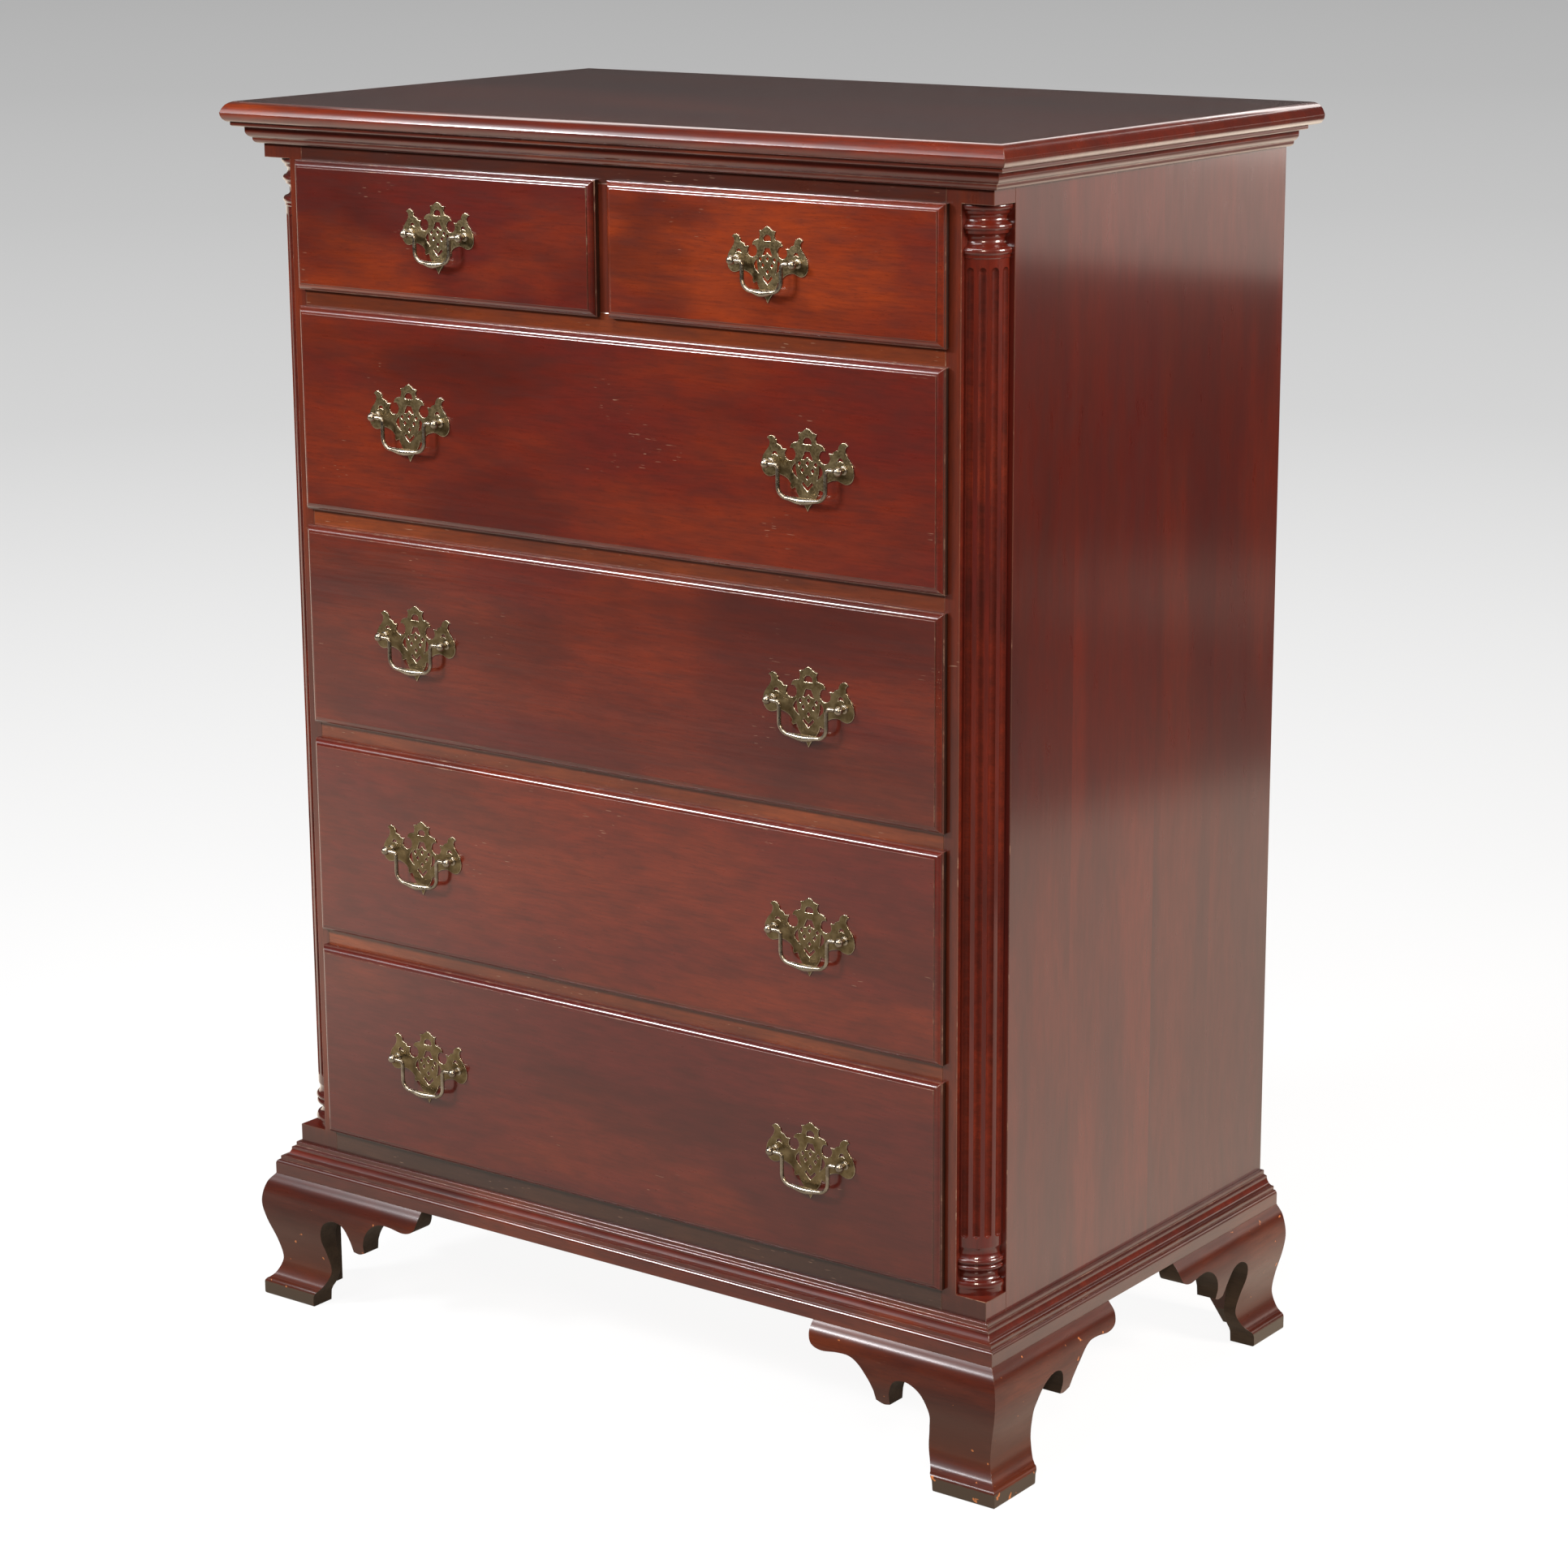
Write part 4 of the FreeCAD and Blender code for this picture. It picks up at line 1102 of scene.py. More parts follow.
@dataclass
class Moulding:
    """A moulding round the front and both sides, mitred at the front corners."""

    name: str
    node: str
    reach: float
    height: float
    high: float
    outline: Outline                # in shares of the reach and, downwards, of the height
    hollow: Pair                    # where its hollow lies, painted with shade, as shares of the height, from the top
    side_wood: StainedMahogany
    spare: float = 90.0             # what the mitres take off, and more

    def length(self, name: str, side: bool) -> Piece:
        """Cut one length, longer than needed.

        Args:
            name: The new piece's name.
            side: Whether it runs along the right side, and not along the front.

        Returns:
            The length, not yet mitred.
        """
        points = [(u * self.reach, self.high - v * self.height) for u, v in self.outline.closed()]
        half = HALF_W / MM
        if side:
            return section(name, points, lambda out, z: at(half + out, -self.spare, z),
                           Vector((0, BACK_Y - FRONT_Y + self.spare * MM, 0)))
        return section(name, points, lambda out, z: at(-half - self.spare, -out, z),
                       Vector((2 * HALF_W + 2 * self.spare * MM, 0, 0)))

    def build(self) -> Piece:
        """Cut the three lengths, mitre them and join them.

        Returns:
            The moulding.
        """
        corner = Vector((HALF_W, FRONT_Y, 0))
        front = sawn(self.length("front", side=False), corner, Vector((1, 1, 0)))
        sawn(front, Vector((-HALF_W, FRONT_Y, 0)), Vector((-1, 1, 0)))
        right = sawn(self.length("right", side=True), corner, Vector((-1, -1, 0)))
        left = copied(right, flip=True)
        edge = Woods.front_run.material(0.5)
        dressed(front, Woods.front_run.material(), edge, Woods.hollow.material())
        for run in (right, left):
            dressed(run, self.side_wood.material(), edge, Woods.hollow.material())
        # The hollow's faces take the painted shade.
        for run in (front, right, left):
            for face in run.data.polygons:
                down = (self.high - face.center.z / MM) / self.height
                if self.hollow[0] < down < self.hollow[1]:
                    face.material_index = 2
            eased(run, 0.35, limit=45)
        piece = joined(self.name, [front, right, left])
        return finished(piece, "case", "moulding_wood", self.node)


def cornice() -> Moulding:
    """Draw the moulding under the top: fillet, quarter round, small step and bead.

    Returns:
        The moulding.
    """
    line = Outline(0, 0).line((1, 0), (1, 0.113)).arc((0.976, 0.165), (0.91, 0.191))
    line.line((0.593, 0.252), (0.573, 0.274), (0.573, 0.413)).arc((0.498, 0.626), (0.348, 0.73), 10)
    line.line((0.348, 0.783)).arc((0.285, 0.939), (0.134, 1)).line((0, 1))
    return Moulding("cornice", "cornice_mouldings", reach=25.3, height=23.0,
                    high=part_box("cornice_mouldings")[1].z / MM, outline=line, hollow=(0.26, 0.42),
                    side_wood=Woods.cornice_side)


def base() -> Moulding:
    """Draw the moulding over the feet: two steps, a hollow, a fillet and a flat fascia.

    Returns:
        The moulding.
    """
    line = Outline(0, 0).line((0.173, 0)).arc((0.205, 0.008), (0.218, 0.027), 4).line((0.218, 0.13), (0.355, 0.157))
    line.arc((0.386, 0.168), (0.395, 0.186), 4).line((0.395, 0.232)).arc((0.518, 0.373), (0.773, 0.438), 10)
    line.arc((0.805, 0.446), (0.809, 0.465), 4).line((0.809, 0.562)).arc((0.945, 0.589), (1, 0.665), 6)
    line.line((1, 1), (0, 1))
    return Moulding("base_moulding", "base_mouldings", reach=22.0, height=37.0,
                    high=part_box("base_mouldings")[1].z / MM, outline=line, hollow=(0.235, 0.36),
                    side_wood=Woods.side_run)


@dataclass
class QuarterColumn:
    """A turned and fluted quarter column in the corner post's recess."""

    recess: float = 37.0
    shaft: float = 31.0
    plinth: float = 50.8
    capital: float = 52.5
    flutes: int = 4
    flute_r: float = 4.6
    flute_depth: float = 2.4
    flute_end: float = 60.0
    turn_steps: int = 36

    def profile(self, low: float, high: float) -> list[Pair]:
        """Half of the column's section, out from its axis.

        Args:
            low: Height of its foot, in millimetres.
            high: Height of its head.

        Returns:
            Points of (radius, height).
        """
        def foot(swell: float, up: float) -> Pair:
            """A point of the foot, in shares of the shaft's radius and the foot's height."""
            return self.shaft * swell, low + self.plinth * up

        def head(swell: float, down: float) -> Pair:
            """A point of the head, in shares of the shaft's radius and, downwards, the head's height."""
            return self.shaft * swell, high - self.capital * down

        line = Outline(0, low).line(foot(1.077, 0), foot(1.077, 0.118)).arc(foot(1.103, 0.193), foot(1.065, 0.266))
        line.line(foot(0.984, 0.276)).arc(foot(0.887, 0.394), foot(0.984, 0.502), 10)
        line.arc(foot(1.071, 0.561), foot(0.994, 0.62))
        line.line(foot(1, 0.634)).arc(foot(1.087, 0.701), foot(1, 0.768)).arc(foot(0.948, 0.876), foot(0.994, 0.984))
        line.line(foot(1, 1), head(1, 1), head(1.026, 0.981), head(1.026, 0.93))
        line.arc(head(1.087, 0.853), head(0.987, 0.785)).arc(head(0.826, 0.667), head(0.968, 0.545), 10)
        line.line(head(0.987, 0.488)).arc(head(1.077, 0.419), head(0.984, 0.354))
        line.arc(head(0.903, 0.267), head(0.984, 0.183)).line(head(1, 0.133)).arc(head(1.103, 0.067), head(1.065, 0))
        return line.line((0, high)).closed()

    def cutter(self, angle: float, low: float, high: float) -> Piece:
        """A round-ended rod that cuts one flute.

        Args:
            angle: Round from the front towards the side, in radians.
            low: Height of the flute's lower end, in millimetres.
            high: Height of its upper end.

        Returns:
            The rod.
        """
        reach = self.shaft + self.flute_r - self.flute_depth
        axis = at(HALF_W / MM - self.recess, self.recess, low + self.flute_r)
        spot = axis + Vector((math.sin(angle), -math.cos(angle), 0)) * reach * MM
        take()
        bpy.ops.mesh.primitive_uv_sphere_add(segments=32, ring_count=16, radius=self.flute_r * MM, location=spot)
        rod = settled("flute_cutter")
        with opened(rod):
            choose(rod, lambda middle, normal: middle.z > spot.z)
            bpy.ops.transform.translate(value=(0, 0, (high - low - 2 * self.flute_r) * MM))
        dressed(rod, *self.finishes())
        # The rod's faces, which line the flute after the cut, take the painted shade.
        for face in rod.data.polygons:
            face.material_index = 2
        return rod

    def finishes(self) -> list[Material]:
        """The wood, its rubbed edges, and the painted shade in the hollow of a flute."""
        return [Woods.column.material(), Woods.column.material(0.45), Woods.hollow.material()]

    def build(self) -> list[Piece]:
        """Turn the column, cut its flutes, and copy it to the left corner.

        Returns:
            The right column and the left one.
        """
        low, high = (corner.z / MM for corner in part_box("quarter_column_right"))
        across = HALF_W / MM - self.recess
        right = face_through("quarter_column_right_turned", [
            at(across, self.recess - radius, height) for radius, height in self.profile(low, high)])
        with opened(right):
            bpy.ops.mesh.spin(steps=self.turn_steps, angle=-math.pi / 2, use_auto_merge=False,
                              center=at(across, self.recess, 0), axis=(0, 0, 1))
            bpy.ops.mesh.select_all(action="SELECT")
            bpy.ops.mesh.remove_doubles(threshold=WELD)
            bpy.ops.mesh.dissolve_degenerate(threshold=WELD / 10)
            bpy.ops.mesh.normals_make_consistent(inside=False)
        dressed(right, *self.finishes())
        for index in range(self.flutes):
            angle = math.radians(90 * (index + 0.5) / self.flutes)
            merged(right, self.cutter(angle, low + self.flute_end, high - self.flute_end), "DIFFERENCE")
        left = copied(right, flip=True)
        left.name = "quarter_column_left_turned"
        return [finished(eased(column, 0.25, limit=32, segments=1), "case", "frame_wood", node)
                for column, node in ((right, "quarter_column_right"), (left, "quarter_column_left"))]


@dataclass
class CaseFrame:
    """The case's flat boards: posts, rails, sides, back, bottom and runners."""

    edge: float = 0.6
    recess: float = 38.0            # the column's recess and a little more, from the case's corner
    skin: float = 0.5               # a face less deep than this lies in the case's own face
    parts: dict[str, tuple[StainedMahogany, str]] = field(default_factory=lambda: {
        "corner_post_left": (Woods.upright, "frame_wood"),
        "corner_post_right": (Woods.upright, "frame_wood"),
        "top_mullion": (Woods.upright, "frame_wood"),
        "top_rail": (Woods.top_rail, "frame_wood"),
        "drawer_rails": (Woods.front, "frame_wood"),
        "bottom_rail": (Woods.bottom_rail, "frame_wood"),
        "side_panel_left": (Woods.side, "side_wood"),
        "side_panel_right": (Woods.side, "side_wood"),
    })

    def build(self) -> list[Piece]:
        """Ease the show boards' edges, and give the inside boards their wood.

        Returns:
            The boards.
        """
        made = []
        for node, (wood, slot) in self.parts.items():
            piece = dressed(node_copy(node, node + "_board"), wood.material(), wood.material(0.3),
                            Woods.hollow.material(), Woods.side.material())
            # A corner post's faces in the column's recess take the painted shade, and those in the side's plane take
            # the side's wood.
            for face in piece.data.polygons if node.startswith("corner_post") else ():
                inward, behind = HALF_W - abs(face.center.x), face.center.y - FRONT_Y
                if min(inward, behind) > self.skin * MM and max(inward, behind) < self.recess * MM:
                    face.material_index = 2
                elif inward < self.skin * MM:
                    face.material_index = 3
            made.append(finished(eased(piece, self.edge), "case", slot, node))
        for node, finish in (("back_panel", Woods.inside_height), ("bottom_board", Woods.inside_width),
                             ("drawer_runners", Woods.inside_length)):
            piece = dressed(node_copy(node, node + "_boards"), finish.material(), finish.material())
            made.append(finished(eased(piece, 0.5), "case", "inside_wood", node))
        return made


# ---------------------------------------------------------------- feet
@dataclass
class OgeeFoot:
    """A bracket foot: ogee faces, scrolled lower edges and a square-edged pad."""

    height: float = 147.0
    reach: float = 34.8
    top_reach: float = 22.0
    back: float = 4.0
    length: float = 201.0
    pad_l: float = 41.0
    pad_h: float = 16.0
    worn: float = 2.6
    rear_shift: float = 25.0
    rear_t: float = 22.0
    rear_top: float = 139.0
    rear_floor: float = 31.0
    block_side: float = 33.0
    block_up: float = 12.0
    rear_block_up: float = 80.0
    ogee: tuple[Pair, ...] = ((0.73, 0.171), (0.58, 0.245), (0.543, 0.318), (0.667, 0.456), (0.897, 0.633),
                              (0.994, 0.782), (0.868, 0.922))
    inner: tuple[Pair, ...] = ((0.066, 0.184), (0.099, 0.286), (0.081, 0.422), (0.061, 0.558), (0.106, 0.694),
                               (0.206, 0.759), (0.306, 0.738), (0.356, 0.639), (0.369, 0.531))
    tip: tuple[Pair, ...] = ((0.419, 0.522), (0.475, 0.544), (0.481, 0.619))
    outer: tuple[Pair, ...] = ((0.513, 0.701), (0.575, 0.787), (0.656, 0.835), (0.756, 0.838), (0.881, 0.822),
                               (0.963, 0.847), (0.995, 0.912))

    def face_line(self) -> list[Pair]:
        """Draw the section of a bracket board.

        Returns:
            Points of (out from the case, height).
        """
        edge, reach, pad = self.worn, self.reach, self.pad_h
        line = Outline(self.back, 0).line((reach - edge, 0)).arc((reach - 0.3 * edge, 0.3 * edge), (reach, edge), 4)
        line.line((reach, pad - edge))
        line.arc((reach - 0.3 * edge, pad + 0.5 * edge), (reach - 1.6 * edge, pad + 1.5 * edge), 5)
        line.curve([(reach * out, self.height * up) for out, up in self.ogee] + [(self.top_reach, self.height)])
        return line.line((self.back, self.height)).closed()

    def scroll_line(self, start: float) -> list[Pair]:
        """Draw the outline that a bracket board is sawn to.

        Args:
            start: Where the board begins, before the corner.

        Returns:
            Points of (away from the corner, height).
        """
        def shared(points: Sequence[Pair]) -> list[Pair]:
            """Scale points given in shares of the board's length past the pad and of its height."""
            return [(self.pad_l + (self.length - self.pad_l) * u, self.height * z) for u, z in points]

        line = Outline(start, -1).line((self.pad_l, -1), (self.pad_l + 1, 0.75 * self.pad_h))
        line.line((self.pad_l + 3.5, self.pad_h + 1)).curve(shared(self.inner))
        mid, tip, rise = shared(self.tip)
        line.curve([mid, tip], 4).line(rise)
        line.curve(shared(self.outer) + [(self.length, self.height + 1)])
        return line.line((start, self.height + 1)).closed()

    def bracket(self, side: bool, corner_y: float, start: float) -> Piece:
        """One bracket board of a right-hand foot, not yet mitred.

        Args:
            side: Whether it stands on the case's side, and not on its front.
            corner_y: Where the lengths along the side begin, behind the case's front.
            start: The board's end before that corner.

        Returns:
            The board.
        """
        half = HALF_W / MM
        if side:
            forward = 1 if corner_y < 100 else -1
            low = min(corner_y + forward * start, corner_y + forward * (self.length + 5))
            board = section("side_bracket", self.face_line(), lambda out, z: at(half + out, low, z),
                            Vector((0, (self.length + 5 - start) * MM, 0)))
            shape = section("scroll", self.scroll_line(start), lambda u, z: at(half - 20, corner_y + forward * u, z),
                            Vector((90 * MM, 0, 0)))
        else:
            board = section("front_bracket", self.face_line(), lambda out, z: at(half - self.length - 5, -out, z),
                            Vector(((self.length + 5 - start) * MM, 0, 0)))
            shape = section("scroll", self.scroll_line(start), lambda u, z: at(half - u, 20, z),
                            Vector((0, -90 * MM, 0)))
        return merged(board, shape, "INTERSECT")

    def glue_block(self, y: float, up: float) -> Piece:
        """The square block behind the brackets.

        Args:
            y: Where it begins, behind the case's front, in millimetres.
            up: Its lower end's height.

        Returns:
            The block.
        """
        right = HALF_W / MM + self.back
        return block("glue_block", at(right - self.block_side, y, up), at(right, y + self.block_side, self.height))

    def front(self) -> Piece:
        """Put two mitred brackets and their block together.

        Returns:
            The right front foot.
        """
        corner = Vector((HALF_W, FRONT_Y, 0))
        start = -self.reach - 1
        front = sawn(self.bracket(False, 0, start), corner, Vector((1, 1, 0)))
        side = sawn(self.bracket(True, 0, start), corner, Vector((-1, -1, 0)))
        return self.dress(front, side, self.glue_block(-self.back, self.block_up))

    def rear(self) -> Piece:
        """Put the side bracket, the plain rear bracket and their block together.

        Returns:
            The right rear foot.
        """
        depth = (BACK_Y - FRONT_Y) / MM
        side = self.bracket(True, depth - self.rear_shift, -self.rear_shift)
        half = HALF_W / MM
        line = [(half + self.back, 0), (half - self.rear_floor, 0), (half - self.rear_top, self.height),
                (half + self.back, self.height)]
        plain = section("plain_bracket", line, lambda x, z: at(x, depth - self.rear_t, z),
                        Vector((0, self.rear_t * MM, 0)))
        glued = self.glue_block(depth - self.rear_t - self.block_side, self.rear_block_up)
        return self.dress(plain, side, glued, plain=True)

    def dress(self, front: Piece, side: Piece, glued: Piece, plain: bool = False) -> Piece:
        """Give the boards their finish, ease their edges and join them.

        Args:
            front: The bracket along the front, or the plain one along the back.
            side: The bracket along the side.
            glued: The block behind them.
            plain: Whether the first is the plain one, which has one flat finish.

        Returns:
            The foot.
        """
        along_x, along_y = (FootWood(name, grain=grain, seed=seed, body="#4a1c10", warm="#5e2a15", cool="#401a13",
                                     dark="#240c08", specular=0.2, coat=0.32, coat_roughness=0.2, nicks=0.3)
                            for name, grain, seed in (("mahogany_front_foot_lacquered", Grain.ALONG_X, 4.0),
                                                      ("mahogany_side_foot_lacquered", Grain.ALONG_Y, 3.0)))
        for piece, wood, axis in ((front, along_x, 1), (side, along_y, 0), (glued, along_x, 2)):
            dressed(piece, wood.material(), wood.material(0.5), Woods.sawn_edge.material())
            for face in piece.data.polygons:
                # The scrolled edges and the faces under the case were never lacquered.
                outward = (face.normal.x, -face.normal.y, 0.0)[axis]
                if outward < 0.02 and not (plain and piece == front):
                    face.material_index = 2
            eased(piece, 0.7, limit=35)
        return joined("foot", [front, side, glued])

    def build(self) -> list[Piece]:
        """Make the right-hand feet and mirror them to the left.

        Returns:
            The four feet.
        """
        made = []
        for place, right in (("front", self.front()), ("rear", self.rear())):
            left = copied(right, flip=True)
            for side, piece in (("right", right), ("left", left)):
                piece.name = f"ogee_foot_{place}_{side}"
                made.append(finished(piece, "case", "foot_wood", f"foot_{place}_{side}"))
        return made


# ---------------------------------------------------------------- pulls
@dataclass(frozen=True)
class PullPattern:
    """One size of pull, in millimetres."""

    bore: float                     # between the posts
    plate_w: float
    crown: float                    # the plate's reach above the bail's axis
    tail: float                     # and below it
    bail_in: float                  # from a post to the bail's upright arm
    bail_drop: float


LARGE = PullPattern(bore=88.9, plate_w=113.0, crown=37.5, tail=45.5, bail_in=15.2, bail_drop=37.5)
SMALL = PullPattern(bore=75.0, plate_w=99.0, crown=34.5, tail=41.0, bail_in=13.6, bail_drop=34.0)


class Bend(Enum):
    """How a drawn line passes a point."""

    SMOOTH = "AUTO"
    SHARP = "VECTOR"


Knot = tuple[float, float, bool]    # x and z in millimetres from the bail's axis; True is a sharp point


def curve_stock(flat: bool) -> Piece:
    """Start an empty curve.

    Args:
        flat: Whether it lies in one plane.

    Returns:
        The curve's object.
    """
    take()
    bpy.ops.curve.primitive_bezier_curve_add()
    stock = bpy.context.object
    stock.data.splines.clear()
    stock.data.dimensions = "2D" if flat else "3D"
    return stock


def cast(name: str, stock: Piece, within: float) -> Piece:
    """Turn a curve into a closed mesh.

    Args:
        name: The new piece's name.
        stock: The curve's object, which is used up.
        within: Corners this close, in metres, become one.

    Returns:
        The piece.
    """
    take(stock)
    bpy.ops.object.convert(target="MESH")
    piece = settled(name)
    with opened(piece):
        welded(within)
    return piece


@dataclass
class Pull:
    """A batwing plate with two ball posts, and the bail that swings between them."""

    pattern: PullPattern
    plate_t: float = 1.2
    rim: float = 0.4
    face_proud: float = 12.0
    ball_r: float = 4.75
    ball_out: float = 9.8
    stem_r: float = 2.6
    collar_r: float = 4.6
    collar_t: float = 1.2
    shank_r: float = 2.2
    pin_r: float = 1.5
    pin_clear: float = 0.05
    pin_in_ball: float = 4.6
    wire_r: float = 2.1
    wire_to_ball: float = 0.3
    top_bend: float = 4.0
    low_bend: float = 11.5
    grip_r: float = 3.7
    front_inside: float = 10.0
    nut_side: float = 11.0
    nut_t: float = 4.0
    turn_steps: int = 28            # round a post
    bore_sides: int = 24
    bend_steps: int = 6             # along each bend of the bail, and along half of its grip
    # Right half of the large plate's outline, from the crown down to the tail.
    edge: tuple[Knot, ...] = (
        (0, 37.5, False), (3.6, 35.9, False), (6.6, 33.7, False), (11.6, 32.6, True), (10.2, 29.2, False),
        (11.4, 23.6, True), (15.6, 22.7, False), (19.6, 20.6, False), (21.4, 16.6, True), (18.4, 16.9, False),
        (15.0, 13.6, False), (14.7, 8.6, False), (17.6, 4.8, False), (22.2, 3.9, False), (26.4, 6.5, False),
        (27.6, 11.0, False), (25.9, 15.2, True), (30.8, 15.0, True), (32.6, 17.6, True), (37.2, 19.4, True),
        (38.3, 23.4, False), (41.0, 26.1, False), (45.2, 27.2, False), (49.6, 24.4, True), (46.9, 22.6, False),
        (46.4, 18.4, False), (48.8, 13.6, False), (53.0, 8.4, False), (56.0, 2.0, False), (56.4, -5.0, False),
        (54.0, -10.6, False), (49.0, -13.9, False), (43.0, -13.5, False), (36.6, -11.1, False), (30.0, -12.0, False),
        (24.0, -14.8, False), (20.2, -18.6, True), (20.8, -21.8, False), (19.2, -24.2, True), (14.6, -22.2, True),
        (13.2, -26.4, False), (10.6, -31.0, False), (6.2, -36.4, False), (2.6, -40.6, True), (0, -45.5, True))
    # Openings in its middle, then those of its right half, and diamonds by their middles.
    slots: tuple[tuple[Knot, ...], ...] = (
        ((-4.8, 21.8, True), (4.8, 21.8, True), (4.6, 26.2, False), (0, 28.6, False), (-4.6, 26.2, False)),
        ((-7.0, 6.0, True), (-3.4, 6.6, False), (0, 9.4, True), (3.4, 6.6, False), (7.0, 6.0, True),
         (3.2, 14.6, True), (-3.2, 14.6, True)),
        ((-5.6, -15.6, True), (0, -21.2, True), (5.6, -15.6, True), (7.0, -18.2, True), (0, -25.2, True),
         (-7.0, -18.2, True)))
    side_slots: tuple[tuple[Knot, ...], ...] = (
        ((14.6, 2.6, True), (18.8, -4.6, False), (12.0, -13.2, True), (14.0, -5.2, False)),
        ((36.4, 7.2, True), (37.6, 10.6, False), (40.0, 11.8, False), (42.4, 10.6, False), (43.6, 7.2, True),
         (40.0, 8.8, False)))
    diamonds: tuple[Pair, ...] = ((0, 3.0), (6.4, -4.2), (-6.4, -4.2), (0, -11.1), (10.0, 2.2), (-10.0, 2.2))
    diamond_half: Pair = (2.3, 2.8)

    def fitted(self, x: float, z: float) -> Pair:
        """Bring a point of the large plate onto this plate.

        Args:
            x: Millimetres to the right of the bail's middle.
            z: Millimetres above the bail's axis.

        Returns:
            The same two measures on this plate.
        """
        tall = self.pattern.crown / LARGE.crown if z > 0 else self.pattern.tail / LARGE.tail
        return x * self.pattern.plate_w / LARGE.plate_w, z * tall

    def drawn(self, curve: bpy.types.Curve, points: Sequence[Knot]) -> None:
        """Add one closed line to a flat curve.

        Args:
            curve: The curve.
            points: The line's points on the large plate.
        """
        line = curve.splines.new("BEZIER")
        line.use_cyclic_u = True
        line.bezier_points.add(len(points) - 1)
        for knot, (x, z, sharp) in zip(line.bezier_points, points):
            bend = Bend.SHARP if sharp else Bend.SMOOTH
            u, v = self.fitted(x, z)
            knot.co = (u * MM, v * MM, 0)
            knot.handle_left_type = knot.handle_right_type = bend.value

    def plate(self, spot: Vector) -> Piece:
        """Cut the pierced plate out of sheet.

        Args:
            spot: The middle of the bail's axis, on the drawer's face.

        Returns:
            The plate.
        """
        sheet = curve_stock(flat=True)
        curve = sheet.data
        curve.fill_mode = "BOTH"
        curve.resolution_u = curve.render_resolution_u = 4
        mirrored = [(-x, z, sharp) for x, z, sharp in reversed(self.edge[1:-1])]
        self.drawn(curve, [*self.edge, *mirrored])
        holes = list(self.slots) + list(self.side_slots)
        holes += [tuple((-x, z, sharp) for x, z, sharp in hole) for hole in self.side_slots]
        wide, tall = self.diamond_half
        holes += [((x + wide, z, True), (x, z + tall, True), (x - wide, z, True), (x, z - tall, True))
                  for x, z in self.diamonds]
        for hole in holes:
            self.drawn(curve, hole)
        curve.extrude = (self.plate_t / 2 - self.rim) * MM
        curve.bevel_depth = self.rim * MM
        curve.offset = -self.rim * MM
        curve.bevel_resolution = 1
        sheet.rotation_euler = (math.pi / 2, 0, 0)
        sheet.location = spot + Vector((0, -self.plate_t / 2 * MM, 0))
        piece = cast("plate", sheet, 10 * LOOSE_WELD)
        dressed(piece, Woods.plate.material(), Woods.plate_edge.material())
        # The rim's faces take the rubbed edge with its painted glint.
        for face in piece.data.polygons:
            face.material_index = 0 if abs(face.normal.y) > 0.97 else 1
        return eased(piece, 0.0, limit=50)

    def turned(self, name: str, spot: Vector, line: Outline) -> Piece:
        """Turn a piece about a line that runs from front to back.

        Args:
            name: The new piece's name.
            spot: Where the line meets the drawer's face.
            line: Half section, as (millimetres behind the face, radius).

        Returns:
            The turned piece.
        """
        piece = face_through(name, [spot + Vector((radius * MM, back * MM, 0)) for back, radius in line.closed()])
        with opened(piece):
            bpy.ops.mesh.spin(steps=self.turn_steps, angle=2 * math.pi, center=spot, axis=(0, 1, 0),
                              use_auto_merge=True)
            bpy.ops.mesh.select_all(action="SELECT")
            bpy.ops.mesh.remove_doubles(threshold=LOOSE_WELD)
            bpy.ops.mesh.delete_loose()
        self.without_inner_faces(piece, spot)
        return piece

    def without_inner_faces(self, piece: Piece, spot: Vector) -> None:
        """Take out the copies of the section that the spin leaves inside.

        Args:
            piece: The turned piece.
            spot: A point on its axis, which runs from front to back.
        """
        def across(middle: Vector, normal: Vector) -> bool:
            """Whether a face lies in a plane through the axis."""
            out = Vector((middle.x - spot.x, 0, middle.z - spot.z))
            return abs(normal.y) < 1e-3 and abs(normal.dot(out)) < 0.02 * out.length

        with opened(piece):
            choose(piece, across)
            bpy.ops.mesh.delete(type="ONLY_FACE")
            bpy.ops.mesh.select_all(action="SELECT")
            bpy.ops.mesh.normals_make_consistent(inside=False)

    def post(self, spot: Vector, inward: int) -> Piece:
        """Turn a ball-headed post and bore it for the bail's pin.

        Args:
            spot: Where its axis meets the drawer's face.
            inward: 1 if the bail lies to its right, and -1 otherwise.

        Returns:
            The post.
        """
        ball = -self.plate_t - self.ball_out
        face = -self.plate_t
        neck = math.sqrt(self.ball_r**2 - self.stem_r**2)
        line = Outline(ball - self.ball_r, 0).arc((ball, self.ball_r), (ball + neck, self.stem_r), 14)
